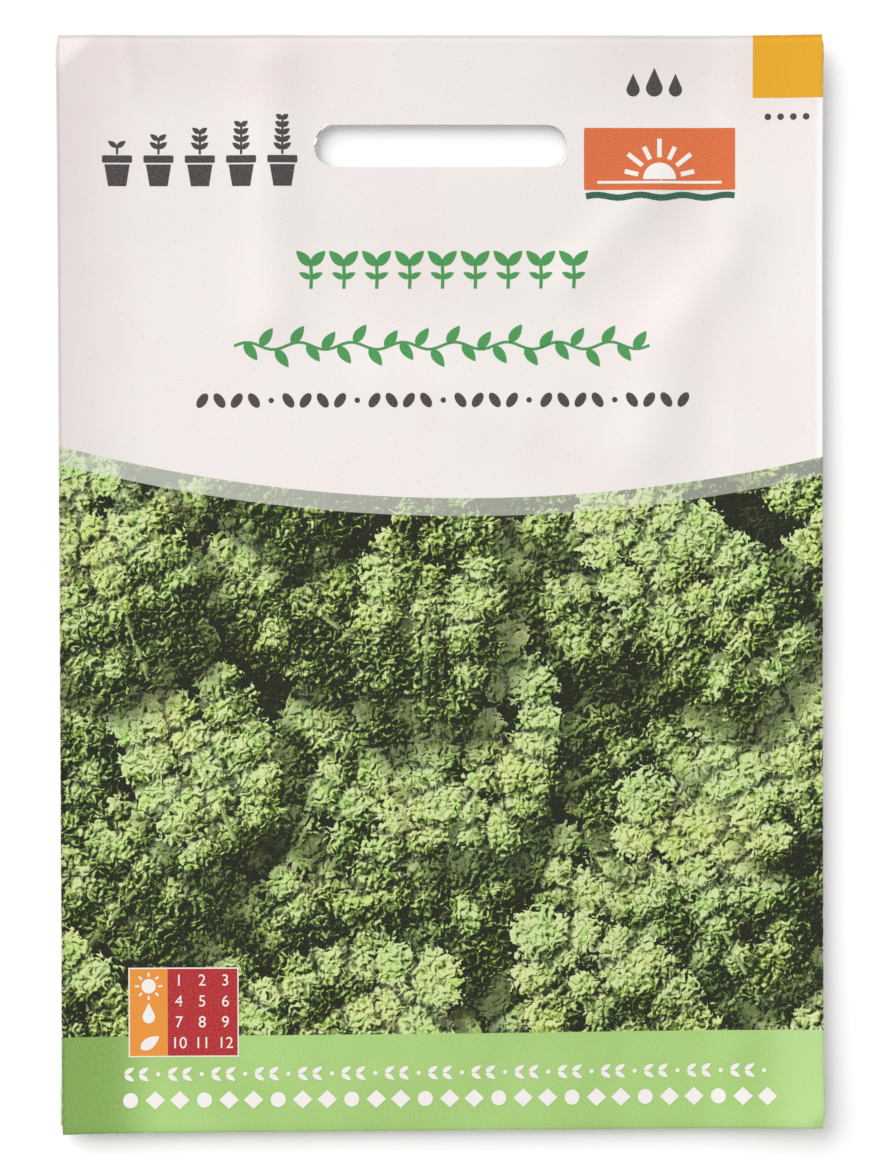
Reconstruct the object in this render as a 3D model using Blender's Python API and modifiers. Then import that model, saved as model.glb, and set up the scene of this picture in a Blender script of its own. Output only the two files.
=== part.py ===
"""A sealed paper seed packet, lying on its back with its hanging slot towards +Y.

One die-cut sheet is folded into the packet: a lap and a front panel, a back panel glued over
the lap, and a flap at each end glued over the back. A line of glue under the hanging slot
closes the pocket, which holds a patch of kale seeds. The origin is on the surface that the
packet lies on, under its middle. Units are metres.
"""

import math
import random

import bmesh
import bpy

# The sheet and its outline
PACKET_WIDTH = 0.115
PACKET_HEIGHT = 0.165
PAPER = 0.00015
LAYER_GAP = 0.0002
LAP_WIDTH = 0.012
BACK_MARGIN = 0.0015
CORNER_NOTCH = 0.0015
BOTTOM_FLAP = 0.014
TOP_FLAP = 0.010
FLAP_OVERHANG = 0.0004
FLAP_CORNER = 0.006

# The standard hanging slot, with round ends, through both panels
SLOT_LENGTH = 0.0381
SLOT_WIDTH = 0.00635
SLOT_FROM_TOP = 0.0165

# How the packet lies: its middle is flat on the surface and its edges curl up
SIDE_CURL = 0.0009
END_CURL = 0.0012
FLAT_HALF_WIDTH = 0.035
FLAT_HALF_HEIGHT = 0.045
POCKET_BULGE = 0.0022
BULGE_SKEW = 0.7

# The glue lines
GLUE = 0.0001
GLUE_EDGE_MARGIN = 0.002
GLUE_END_MARGIN = 0.007
SEAL_WIDTH = 0.005
SEAL_BELOW_SLOT = 0.006

# The seeds, in one layer on the back panel, each a little way into its neighbours
SEED_DIAMETER = 0.0018
SEED_PITCH = 0.0016
SEED_JITTER = 0.00005
SEED_SIZE_SPREAD = 0.04
SEED_CLEARANCE = 0.00005
PATCH_CENTRE = (-0.004, -0.037)
PATCH_HALF_SIZE = (0.0078, 0.0042)
RANDOM_SEED = 35

# The mesh
PANEL_STEP = 0.007
FOLD_STEPS = 5
SLOT_END_STEPS = 10

# Worked out from the sizes above
HALF_WIDTH = PACKET_WIDTH / 2
HALF_HEIGHT = PACKET_HEIGHT / 2
LAYER_STEP = PAPER + LAYER_GAP
SIDE_FOLD = LAYER_STEP / 2
END_FOLD = LAYER_STEP
FOLD_LINE_X = HALF_WIDTH - SIDE_FOLD
FOLD_LINE_Y = HALF_HEIGHT - END_FOLD
LAP_EDGE = HALF_WIDTH - LAP_WIDTH
BACK_EDGE = HALF_WIDTH - BACK_MARGIN
BODY_END = HALF_HEIGHT - CORNER_NOTCH
BOTTOM_FLAP_EDGE = BOTTOM_FLAP - HALF_HEIGHT
TOP_FLAP_EDGE = HALF_HEIGHT - TOP_FLAP
SLOT_Y = HALF_HEIGHT - SLOT_FROM_TOP
SEAL_TOP = SLOT_Y - SLOT_WIDTH / 2 - SEAL_BELOW_SLOT
SEAL_BOTTOM = SEAL_TOP - SEAL_WIDTH


def clamp(value):
    return max(0.0, min(1.0, value))


def smooth(value):
    t = clamp(value)
    return t * t * (3 - 2 * t)


def curl(distance, flat, end, height):
    """How far a point past the flat middle has curled up. It is the whole height at the edge."""
    return height * clamp((abs(distance) - flat) / (end - flat)) ** 2


def back_level(x, y):
    """The height of the middle of the back panel's paper."""
    sides = curl(x, FLAT_HALF_WIDTH, HALF_WIDTH, SIDE_CURL)
    ends = curl(y, FLAT_HALF_HEIGHT, HALF_HEIGHT, END_CURL)
    return PAPER / 2 + sides + ends


def bulge(x, y):
    """How far seeds and air hold the front panel off the back. It is nothing at the edges."""
    along = clamp((y + HALF_HEIGHT) / (SEAL_BOTTOM + HALF_HEIGHT))
    rise = math.sin(math.pi * along**BULGE_SKEW)
    return POCKET_BULGE * max(0.0, rise) * max(0.0, 1 - (x / HALF_WIDTH) ** 2)


def lap_room(x):
    """The extra height that the lap takes under the front panel, near its right edge."""
    return LAYER_STEP * smooth((x - LAP_EDGE) / (LAP_WIDTH / 2) + 1)


def front_level(x, y):
    return back_level(x, y) + LAYER_STEP + lap_room(x) + bulge(x, y)


def lap_level(x, y):
    return back_level(x, y) + LAYER_STEP


def flap_level(x, y):
    return back_level(x, y) - LAYER_STEP


def over_back(x, y):
    """The middle of the gap between the back panel and the layer over it."""
    return back_level(x, y) + LAYER_STEP / 2


def under_back(x, y):
    """The middle of the gap between the back panel and a flap."""
    return back_level(x, y) - LAYER_STEP / 2


def stations(start, end, step=PANEL_STEP):
    """Evenly spaced numbers from start to end, about one step apart."""
    count = max(1, round(abs(end - start) / step))
    return [start + (end - start) * i / count for i in range(count + 1)]


def chain(*stops):
    """Stations from each stop to the next, as one list."""
    line = [stops[0]]
    for start, end in zip(stops, stops[1:]):
        line += stations(start, end)[1:]
    return line


PANEL_COLUMNS = [FOLD_LINE_X] + chain(BACK_EDGE, LAP_EDGE, -FOLD_LINE_X)
LAP_COLUMNS = [x for x in PANEL_COLUMNS if x >= LAP_EDGE]
BACK_COLUMNS = PANEL_COLUMNS[1:]
BOTTOM_FLAP_ROWS = chain(BOTTOM_FLAP_EDGE, -BODY_END, -FOLD_LINE_Y)
TOP_FLAP_ROWS = chain(FOLD_LINE_Y, BODY_END, TOP_FLAP_EDGE)
BODY_ROWS = chain(
    -BODY_END, BOTTOM_FLAP_EDGE, SEAL_BOTTOM, SEAL_TOP, TOP_FLAP_EDGE, BODY_END
)
FOLD_ANGLES = [math.pi * i / FOLD_STEPS for i in range(1, FOLD_STEPS)]


def fold_level(upper, lower, angle):
    """The height on a fold that starts at the upper layer and ends, at angle pi, at the lower."""
    return (upper + lower) / 2 + (upper - lower) / 2 * math.cos(angle)


def side_fold(side, under_level):
    """The columns of the fold at the right (side 1) or left (side -1), from the front down."""
    x = side * FOLD_LINE_X
    return [
        [
            (
                x + side * SIDE_FOLD * math.sin(angle),
                y,
                fold_level(front_level(x, y), under_level(x, y), angle),
            )
            for y in BODY_ROWS
        ]
        for angle in FOLD_ANGLES
    ]


def end_fold(x, end):
    """The points of one column on the fold at the top (end 1) or bottom (end -1)."""
    y = end * FOLD_LINE_Y
    return [
        (
            x,
            y + end * END_FOLD * math.sin(angle),
            fold_level(front_level(x, y), flap_level(x, y), angle),
        )
        for angle in FOLD_ANGLES
    ]


def flap_point(x, y, length):
    """A point of a flap. Past the fold it is a little proud, then its corners are cut off."""
    depth = HALF_HEIGHT - abs(y)
    proud = FLAP_OVERHANG * clamp(depth / CORNER_NOTCH)
    corner = FLAP_CORNER * clamp(2 * depth / length - 1)
    wide = x * (1 + (proud - corner) / HALF_WIDTH)
    return (wide, y, flap_level(wide, y))


def front_column(x):
    """The bottom flap and its fold, the body of the front panel, and the top fold and flap."""
    bottom = [flap_point(x, y, BOTTOM_FLAP) for y in BOTTOM_FLAP_ROWS]
    bottom += end_fold(x, -1)[::-1]
    bottom.append((x, -FOLD_LINE_Y, front_level(x, -FOLD_LINE_Y)))
    body = [(x, y, front_level(x, y)) for y in BODY_ROWS]
    top = [(x, FOLD_LINE_Y, front_level(x, FOLD_LINE_Y))]
    top += end_fold(x, 1)
    top += [flap_point(x, y, TOP_FLAP) for y in TOP_FLAP_ROWS]
    return bottom, body, top


def sheet_columns():
    """The folded sheet as columns of points, with None where the die has cut the sheet away."""
    front = [front_column(x) for x in PANEL_COLUMNS]
    bottom, _, top = front[0]

    def body_only(columns):
        return [[None] * len(bottom) + points + [None] * len(top) for points in columns]

    lap = [[(x, y, lap_level(x, y)) for y in BODY_ROWS] for x in reversed(LAP_COLUMNS)]
    back = [[(x, y, back_level(x, y)) for y in BODY_ROWS] for x in reversed(BACK_COLUMNS)]
    return (
        body_only(lap)
        + body_only(side_fold(1, lap_level)[::-1])
        + [start + body + end for start, body, end in front]
        + body_only(side_fold(-1, back_level))
        + body_only(back)
    )


def material(name, colour, roughness):
    made = bpy.data.materials.new(name)
    made.use_nodes = True
    shader = made.node_tree.nodes["Principled BSDF"]
    shader.inputs["Base Color"].default_value = (*colour, 1)
    shader.inputs["Roughness"].default_value = roughness
    return made


def new_collection(name):
    made = bpy.data.collections.new(name)
    bpy.context.scene.collection.children.link(made)
    return made


def thick_sheet(name, columns, thickness, finish, collection):
    """A grid laid through columns of points, without the corners that are None, made solid."""
    mesh = bpy.data.meshes.new(name)
    bm = bmesh.new()
    across = len(columns) - 1
    along = len(columns[0]) - 1
    bmesh.ops.create_grid(bm, x_segments=across, y_segments=along, size=0.5)
    cut_away = []
    for vert in bm.verts:
        point = columns[round((vert.co.x + 0.5) * across)][round((vert.co.y + 0.5) * along)]
        if point is None:
            cut_away.append(vert)
        else:
            vert.co = point
    bmesh.ops.delete(bm, geom=cut_away, context="VERTS")
    bmesh.ops.recalc_face_normals(bm, faces=bm.faces)
    bm.to_mesh(mesh)
    bm.free()
    mesh.materials.append(finish)
    made = bpy.data.objects.new(name, mesh)
    collection.objects.link(made)
    solid = made.modifiers.new("thickness", "SOLIDIFY")
    solid.thickness = thickness
    solid.offset = 0
    return made


def slot_outline():
    """The points round the slot, with a half circle at each end."""
    radius = SLOT_WIDTH / 2
    centre = SLOT_LENGTH / 2 - radius
    points = []
    for end in (1, -1):
        for i in range(SLOT_END_STEPS + 1):
            angle = math.pi * i / SLOT_END_STEPS
            points.append((end * (centre + radius * math.sin(angle)), end * radius * math.cos(angle)))
    return points


def slot_cutter(collection):
    """A block with round ends, taller than the packet."""
    outline = bpy.data.curves.new("slot_outline", "CURVE")
    outline.dimensions = "2D"
    outline.fill_mode = "BOTH"
    outline.extrude = 0.01
    points = slot_outline()
    spline = outline.splines.new("POLY")
    spline.points.add(len(points) - 1)
    for point, (x, y) in zip(spline.points, points):
        point.co = (x, y, 0, 1)
    spline.use_cyclic_u = True
    guide = bpy.data.objects.new("slot_guide", outline)
    guide.location = (0, SLOT_Y, 0)
    collection.objects.link(guide)
    bpy.context.view_layer.update()
    graph = bpy.context.evaluated_depsgraph_get()
    mesh = bpy.data.meshes.new_from_object(guide.evaluated_get(graph))
    bm = bmesh.new()
    bm.from_mesh(mesh)
    bmesh.ops.remove_doubles(bm, verts=bm.verts, dist=1e-6)
    bmesh.ops.recalc_face_normals(bm, faces=bm.faces)
    bm.to_mesh(mesh)
    bm.free()
    cutter = bpy.data.objects.new("slot_cutter", mesh)
    cutter.matrix_world = guide.matrix_world
    bpy.data.objects.remove(guide)
    collection.objects.link(cutter)
    cutter.hide_render = True
    cutter.display_type = "WIRE"
    return cutter


def paper_envelope(finish, collection, cutters):
    envelope = thick_sheet("paper_envelope", sheet_columns(), PAPER, finish, collection)
    cut = envelope.modifiers.new("hanging slot", "BOOLEAN")
    cut.operation = "DIFFERENCE"
    cut.object = slot_cutter(cutters)
    return envelope


def glue_line(name, xs, ys, level, finish, collection):
    """A thin line of glue in the gap between two layers of the sheet."""
    columns = [[(x, y, level(x, y)) for y in ys] for x in xs]
    return thick_sheet(name, columns, GLUE, finish, collection)


def glue_lines(finish, collection):
    margin = GLUE_EDGE_MARGIN
    seam_xs = stations(BACK_EDGE - margin, LAP_EDGE + margin)
    flap_xs = [x for x in PANEL_COLUMNS if abs(x) < HALF_WIDTH - GLUE_END_MARGIN]
    seal_xs = [x for x in flap_xs if x < LAP_EDGE - LAP_WIDTH / 2]
    bottom_ys = stations(-BODY_END + margin, BOTTOM_FLAP_EDGE - margin)
    top_ys = stations(TOP_FLAP_EDGE + margin, BODY_END - margin)
    seal_ys = stations(SEAL_BOTTOM, SEAL_TOP)
    glue_line("side_seam_glue", seam_xs, BODY_ROWS[1:-1], over_back, finish, collection)
    glue_line("bottom_flap_glue", flap_xs, bottom_ys, under_back, finish, collection)
    glue_line("top_flap_glue", flap_xs, top_ys, under_back, finish, collection)
    glue_line("header_seal_glue", seal_xs, seal_ys, over_back, finish, collection)


def seed_places(draw):
    """The middles of the seeds on a staggered grid, inside an oval patch."""
    row_pitch = SEED_PITCH * math.sqrt(3) / 2
    half_x, half_y = PATCH_HALF_SIZE
    rows = int(half_y / row_pitch)
    seeds_to_side = int(half_x / SEED_PITCH) + 1
    places = []
    for j in range(-rows, rows + 1):
        for i in range(-seeds_to_side, seeds_to_side + 1):
            x = SEED_PITCH * (i + 0.5 * (j % 2))
            y = row_pitch * j
            if (x / half_x) ** 2 + (y / half_y) ** 2 < 1:
                x += PATCH_CENTRE[0] + draw.uniform(-SEED_JITTER, SEED_JITTER)
                y += PATCH_CENTRE[1] + draw.uniform(-SEED_JITTER, SEED_JITTER)
                places.append((x, y))
    return places


def one_seed(name, x, y, draw, collection):
    radius = SEED_DIAMETER / 2 * (1 - draw.uniform(0, SEED_SIZE_SPREAD))
    mesh = bpy.data.meshes.new(name)
    bm = bmesh.new()
    bmesh.ops.create_icosphere(bm, subdivisions=2, radius=radius)
    bm.to_mesh(mesh)
    bm.free()
    made = bpy.data.objects.new(name, mesh)
    made.location = (x, y, PAPER + SEED_CLEARANCE + SEED_DIAMETER / 2)
    made.rotation_euler = [draw.uniform(0, math.pi) for _ in range(3)]
    collection.objects.link(made)
    return made


def kale_seeds(finish, collection):
    """The patch of seeds, made one body by a union of the first seed with all the others."""
    draw = random.Random(RANDOM_SEED)
    loose = new_collection("loose seeds")
    places = seed_places(draw)
    patch = one_seed("kale_seeds", *places[0], draw, collection)
    others = [
        one_seed(f"seed_{i}", *place, draw, loose) for i, place in enumerate(places[1:])
    ]
    joined = patch.modifiers.new("touching seeds", "BOOLEAN")
    joined.operation = "UNION"
    joined.operand_type = "COLLECTION"
    joined.collection = loose
    bpy.context.view_layer.update()
    graph = bpy.context.evaluated_depsgraph_get()
    mesh = bpy.data.meshes.new_from_object(patch.evaluated_get(graph))
    patch.modifiers.remove(joined)
    patch.data = mesh
    for seed in others:
        bpy.data.objects.remove(seed)
    bpy.data.collections.remove(loose)
    mesh.materials.clear()
    mesh.materials.append(finish)
    mesh.shade_smooth()
    return patch


def main():
    for old in list(bpy.data.objects):
        bpy.data.objects.remove(old)
    packet = new_collection("seed packet")
    cutters = new_collection("cutters")
    paper_envelope(material("uncoated paper", (0.83, 0.79, 0.77), 0.8), packet, cutters)
    glue_lines(material("dried glue", (0.82, 0.78, 0.66), 0.45), packet)
    kale_seeds(material("seed coat", (0.06, 0.035, 0.025), 0.55), packet)


main()
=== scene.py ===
# %% [markdown]
# # A printed paper seed packet
# The object is a flat, sealed envelope of uncoated paper, a little larger than a hand, with an
# oblong slot through its header for a shop hook. It lies on its back. One printed sheet is
# folded into all of it, so most of this lesson is about one surface: how it bends, and what
# is printed on it. We first load the solid model that carries the looks, and print the size of its box.

# %% Load the solid model
import math

import bmesh
import bpy
import numpy as np
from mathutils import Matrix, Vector
from mathutils.geometry import delaunay_2d_cdt


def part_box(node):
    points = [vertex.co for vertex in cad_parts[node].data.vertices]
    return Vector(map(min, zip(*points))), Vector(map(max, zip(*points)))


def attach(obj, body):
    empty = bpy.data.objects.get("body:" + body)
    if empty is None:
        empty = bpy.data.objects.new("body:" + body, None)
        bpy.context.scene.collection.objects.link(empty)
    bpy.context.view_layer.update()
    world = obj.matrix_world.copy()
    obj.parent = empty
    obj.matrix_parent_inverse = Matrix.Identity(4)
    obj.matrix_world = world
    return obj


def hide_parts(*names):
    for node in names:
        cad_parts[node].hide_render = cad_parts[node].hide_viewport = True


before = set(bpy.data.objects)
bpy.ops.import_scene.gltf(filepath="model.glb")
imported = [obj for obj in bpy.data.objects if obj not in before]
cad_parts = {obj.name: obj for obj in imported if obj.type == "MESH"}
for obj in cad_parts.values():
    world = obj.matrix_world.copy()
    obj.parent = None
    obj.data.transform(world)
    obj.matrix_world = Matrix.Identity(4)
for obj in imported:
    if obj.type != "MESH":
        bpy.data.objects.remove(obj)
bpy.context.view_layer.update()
MM = 0.001
low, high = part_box("paper_envelope")
print("the solid envelope measures", [round((b - a) / MM, 2) for a, b in zip(low, high)], "mm")

# %% [markdown]
# ## How the sheet is folded
# A packet is made from one die-cut sheet: a narrow lap is folded in at the right, the front
# panel covers it, the back panel is glued on the lap, and a flap at each end is folded round
# onto the back. We could model a box and squash it, but a seed packet shows its folds, so the
# sheet is laid along the same path as the real one. These are the sizes that shape the path.

# %% Sizes of the sheet
HALF_WIDTH = 57.5 * MM
HALF_HEIGHT = 82.5 * MM
PAPER = 0.15 * MM
LAYER_STEP = PAPER + 0.2 * MM
SIDE_FOLD = LAYER_STEP / 2
END_FOLD = LAYER_STEP
FOLD_LINE_X = HALF_WIDTH - SIDE_FOLD
FOLD_LINE_Y = HALF_HEIGHT - END_FOLD
LAP_WIDTH = 12 * MM
LAP_EDGE = HALF_WIDTH - LAP_WIDTH
BACK_EDGE = HALF_WIDTH - 1.5 * MM
CORNER_NOTCH = 1.5 * MM
BODY_END = HALF_HEIGHT - CORNER_NOTCH
BOTTOM_FLAP = 14 * MM
TOP_FLAP = 10 * MM
FLAP_OVERHANG = 0.4 * MM
FLAP_CORNER = 6 * MM
SLOT_LENGTH = 38.1 * MM
SLOT_WIDTH = 6.35 * MM
SLOT_Y = HALF_HEIGHT - 16.5 * MM
SEAL_BOTTOM = SLOT_Y - SLOT_WIDTH / 2 - 11 * MM
print("the slot's middle is", round(SLOT_Y / MM, 2), "mm above the packet's middle")

# %% [markdown]
# ## How the sheet lies
# The back lies flat in the middle, and the edges curl up a little, as paper that was folded
# under tension does. Seeds and trapped air hold the front panel off the back. Each function
# gives a height for a place on the packet, for many places at once, so that the same few
# lines shape the panels, the flaps and everything printed on them.

# %% Heights of the layers
SIDE_CURL = 0.9 * MM
END_CURL = 1.2 * MM
FLAT_HALF_WIDTH = 35 * MM
FLAT_HALF_HEIGHT = 45 * MM
POCKET_BULGE = 2.2 * MM
BULGE_SKEW = 0.7


def clamp(value):
    return np.clip(value, 0.0, 1.0)


def smooth(value):
    t = clamp(value)
    return t * t * (3 - 2 * t)


def curl(distance, flat, end, height):
    return height * clamp((np.abs(distance) - flat) / (end - flat)) ** 2


def bulge(x, y):
    along = clamp((y + HALF_HEIGHT) / (SEAL_BOTTOM + HALF_HEIGHT))
    rise = np.maximum(0.0, np.sin(math.pi * along**BULGE_SKEW))
    return POCKET_BULGE * rise * np.maximum(0.0, 1 - (x / HALF_WIDTH) ** 2)


def lying(x, y):
    """The middle of the back panel's paper, before any handling marks."""
    sides = curl(x, FLAT_HALF_WIDTH, HALF_WIDTH, SIDE_CURL)
    ends = curl(y, FLAT_HALF_HEIGHT, HALF_HEIGHT, END_CURL)
    return PAPER / 2 + sides + ends


print("the pocket is highest at", round(float(bulge(0, -20 * MM)) / MM, 2), "mm")

# %% [markdown]
# ## Handling marks
# A packet that has been packed, posted and hung is never quite flat. The light shows a long
# soft ridge left of the middle, two short ones that slant below the right end of the slot, a
# wide one that runs down to the right edge of the picture, a corner that is bent down at the
# top left and a tiny dog-ear at the bottom right. Each ridge is a line with a bell-shaped
# height, which is easy to place and to fade out. The heights are half a millimetre or so:
# enough for raking light, and too little to see from the side. Round the slot the header
# stands off the table by a millimetre more, which widens the soft shadow inside the slot.

# %% Ridges, bent corners and cockle
RIDGES = [
    ((-25.4, 78.0), (-25.2, 41.0), 4.6, 0.60),
    ((33.0, 60.5), (19.5, 46.0), 3.6, 0.42),
    ((41.0, 47.0), (32.0, 36.0), 4.2, 0.42),
    ((44.0, 54.0), (31.0, 21.0), 5.5, 0.60),
    ((-47.3, 82.5), (-46.0, 75.0), 1.1, 0.16),
    ((-8.0, 31.0), (12.0, 24.0), 5.0, 0.30),
]
TOP_LEFT_CREASE = ((-57.5, 77.2), (-51.6, 82.5))
TOP_LEFT_SLOPE = 0.30
BOTTOM_RIGHT_CREASE = ((55.4, -82.5), (57.5, -79.9))
BOTTOM_RIGHT_SLOPE = 0.50


def from_line(x, y, start, end):
    """For each place, how far it is to the left of a line in mm, and how far beyond its ends."""
    length = math.dist(start, end)
    ux, uy = (end[0] - start[0]) / length, (end[1] - start[1]) / length
    dx, dy = x / MM - start[0], y / MM - start[1]
    along = dx * ux + dy * uy
    return dy * ux - dx * uy, np.maximum(0, np.maximum(-along, along - length))


print("there are", len(RIDGES), "ridges, the highest", max(rise for *_, rise in RIDGES), "mm")

# %% [markdown]
# ## The height that handling adds
# All the marks are added up in one function. Under the ridges lies the cockle, a waviness of a
# fiftieth of a millimetre from damp. A displacement texture could give it, but with formulas
# the same height is known wherever something is laid on the paper. The header's lift fades out
# downwards and to the sides, and the curls start near the edges.

# %% Add up the marks
COCKLE = 0.02 * MM
HEADER_LIFT = 0.6 * MM
LIFT_START, LIFT_LENGTH, LIFT_WIDTH = 40, 22, 36
LEFT_CURL = (51.0, 0.32)
RIGHT_CURL = (43.0, 0.65)
BOTTOM_CURL = (70.0, 0.45)


def handling(x, y):
    height = COCKLE * (2 + np.sin(x / (9 * MM) + 1.3 * np.sin(y / (13 * MM))))
    height = height + COCKLE * np.sin(y / (8 * MM) + 0.9 * np.sin(x / (11 * MM)))
    lifted = smooth((y / MM - LIFT_START) / LIFT_LENGTH) * np.exp(-((x / MM / LIFT_WIDTH) ** 2))
    height = height + HEADER_LIFT * lifted
    for start, end, width, rise in RIDGES:
        left, beyond = from_line(x, y, start, end)
        height = height + rise * MM * np.exp(-(left**2 + beyond**2) / width**2)
    for side, (start, rise) in ((-1, LEFT_CURL), (1, RIGHT_CURL)):
        height = height + curl(np.maximum(0, side * x), start * MM, HALF_WIDTH, rise * MM)
    start, rise = BOTTOM_CURL
    height = height + curl(np.maximum(0, -y), start * MM, HALF_HEIGHT, rise * MM)
    left, _ = from_line(x, y, *TOP_LEFT_CREASE)
    height = height - TOP_LEFT_SLOPE * MM * np.maximum(0, left)
    left, _ = from_line(x, y, *BOTTOM_RIGHT_CREASE)
    return height - BOTTOM_RIGHT_SLOPE * MM * np.maximum(0, -left)


print("the ridge left of the middle rises", round(float(handling(-25.3 * MM, 60 * MM)) / MM, 2), "mm")

# %% [markdown]
# ## The levels of the layers
# The back has the front's marks only where the two are joined: in the header and along the
# folds. In between the pocket keeps them apart. With that, every layer of the packet has its
# height. Each is one step above or below the back, and the front also makes room for the lap.

# %% Give each layer its level
HEADER_JOINED = (25, 50)
SIDES_JOINED = (46, 56)
BOTTOM_JOINED = (72, 80)


def joined(distance, start, end):
    return smooth((distance / MM - start) / (end - start))


def shared(x, y):
    """How much of the front's handling marks the back has too."""
    header = joined(y, *HEADER_JOINED)
    sides = joined(np.abs(x), *SIDES_JOINED)
    return np.maximum(np.maximum(header, sides), joined(-y, *BOTTOM_JOINED))


def back_level(x, y):
    return lying(x, y) + handling(x, y) * shared(x, y)


def front_level(x, y):
    lap_room = LAYER_STEP * smooth((x - LAP_EDGE) / (LAP_WIDTH / 2) + 1)
    return lying(x, y) + LAYER_STEP + lap_room + bulge(x, y) + handling(x, y)


def lap_level(x, y):
    return back_level(x, y) + LAYER_STEP


def flap_level(x, y):
    return back_level(x, y) - LAYER_STEP


def printed_front(x, y):
    """The height of the front's printed surface."""
    return front_level(x, y) + PAPER / 2


def printed_back(x, y):
    """The height of the back's outer surface, without the flaps."""
    return back_level(x, y) - PAPER / 2


print("in the middle the print is", round(float(printed_front(0, 0)) / MM, 2), "mm above the table")

# %% [markdown]
# ## Laying the sheet through points
# A panel is a grid of points, and each point gets its layer's height. A real sheet is smooth
# and bends anywhere, so the front panel has a point about every two thirds of a millimetre.
# The back is plain, and twice that is enough for it. A fold is half a circle, in a few steps.

# %% Where the points go
FRONT_STEP = 0.67 * MM
BACK_STEP = 1.3 * MM
FOLD_STEPS = 8
FOLD_ANGLES = [math.pi * i / FOLD_STEPS for i in range(1, FOLD_STEPS + 1)]


def stations(start, end, step):
    return np.linspace(start, end, max(1, round(abs(end - start) / step)) + 1)


def laid(xs, ys, level):
    """The points of a flat panel whose height is level(x, y)."""
    x, y = np.meshgrid(xs, ys, indexing="ij")
    return np.stack([x, y, level(x, y)], axis=2)


print("a fold turns in", FOLD_STEPS, "steps")

# %% [markdown]
# ## A sheet through points
# `create_grid` makes a flat grid with neat square faces, and then every corner is moved to its
# own point. Points that are not a number stand for places where the die has cut the sheet
# away. Solidify gives it the thickness of paper, and puts the second material on its far side
# and its cut edges: the print is on the outside only. The flat grid is also the unrolled
# sheet, so its corners' places are kept as a UV map.

# %% A sheet from a grid of points
SIDES = ("upper", "lower")
SHEET_MAP = "OFBake"


def sheet(name, points, thickness=PAPER):
    """A thick sheet through points[column][row], without the corners that are not a number."""
    across, along = points.shape[0] - 1, points.shape[1] - 1
    bm = bmesh.new()
    sheet_map = bm.loops.layers.uv.new(SHEET_MAP)
    bmesh.ops.create_grid(bm, x_segments=across, y_segments=along, size=0.5)
    for face in bm.faces:
        for corner in face.loops:
            corner[sheet_map].uv = corner.vert.co.x + 0.5, corner.vert.co.y + 0.5
    cut_away = []
    for vert in bm.verts:
        point = points[round((vert.co.x + 0.5) * across), round((vert.co.y + 0.5) * along)]
        if math.isnan(point[0]):
            cut_away.append(vert)
        else:
            vert.co = point
    bmesh.ops.delete(bm, geom=cut_away, context="VERTS")
    mesh = bpy.data.meshes.new(name)
    bm.to_mesh(mesh)
    bm.free()
    mesh.shade_smooth()
    for _ in SIDES:
        mesh.materials.append(None)
    made = bpy.data.objects.new(name, mesh)
    bpy.context.scene.collection.objects.link(made)
    solid = made.modifiers.new("paper thickness", "SOLIDIFY")
    solid.thickness = thickness
    solid.offset = 0
    solid.material_offset = 1
    solid.material_offset_rim = 1
    return made


print("each sheet has an", " and a ".join(SIDES), "side")

# %% [markdown]
# ## The front panel and its folds
# The front panel carries the print round its four folds, so the folds belong to it. At each
# side the paper turns through half a circle onto the layer below, and at each end onto the
# flap. In the corners both folds would meet, and there the die has cut a small notch.

# %% Build the front panel
def side_fold(side, ys, under):
    """The columns of a side fold, from the front panel's edge to the layer under it."""
    x = np.full_like(ys, side * FOLD_LINE_X)
    top, bottom = front_level(x, ys), under(x, ys)
    columns = []
    for angle in FOLD_ANGLES:
        z = (top + bottom) / 2 + (top - bottom) / 2 * math.cos(angle)
        columns.append(np.stack([x + side * SIDE_FOLD * math.sin(angle), ys, z], axis=1))
    return columns


def end_fold(end, xs):
    """The rows of an end fold, from the front panel's edge to the flap."""
    y = np.full_like(xs, end * FOLD_LINE_Y)
    top, bottom = front_level(xs, y), flap_level(xs, y)
    rows = []
    for angle in FOLD_ANGLES:
        z = (top + bottom) / 2 + (top - bottom) / 2 * math.cos(angle)
        rows.append(np.stack([xs, y + end * END_FOLD * math.sin(angle), z], axis=1))
    return rows


body_ys = stations(-BODY_END, BODY_END, FRONT_STEP)
front_xs = stations(-FOLD_LINE_X, FOLD_LINE_X, FRONT_STEP)
front_ys = np.concatenate([[-FOLD_LINE_Y], body_ys, [FOLD_LINE_Y]])
middle = laid(front_xs, front_ys, front_level)
bottom_rows = np.stack(end_fold(-1, front_xs)[::-1], axis=1)
top_rows = np.stack(end_fold(1, front_xs), axis=1)
middle = np.concatenate([bottom_rows, middle, top_rows], axis=1)
fold_rows = FOLD_STEPS + 1


def with_notches(column):
    """A side fold's column, with nothing beside the end folds."""
    nothing = np.full((fold_rows, 3), np.nan)
    return np.concatenate([nothing, column, nothing], axis=0)[None]


left_columns = [with_notches(c) for c in side_fold(-1, body_ys, back_level)[::-1]]
right_columns = [with_notches(c) for c in side_fold(1, body_ys, lap_level)]
front_panel = sheet("front_panel", np.concatenate([*left_columns, middle, *right_columns]))
print("the front panel has", len(front_panel.data.polygons), "faces before it gets its thickness")

# %% [markdown]
# ## The back, the lap and the flaps
# The other parts of the same sheet are separate objects here, joined edge to edge at the ends
# of the folds, so that each gets its own material and its own share of texture when the model
# is exported. The flaps stand out a hair past the side folds, as on the real packet, and their
# free corners are cut off at a slant.

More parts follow.
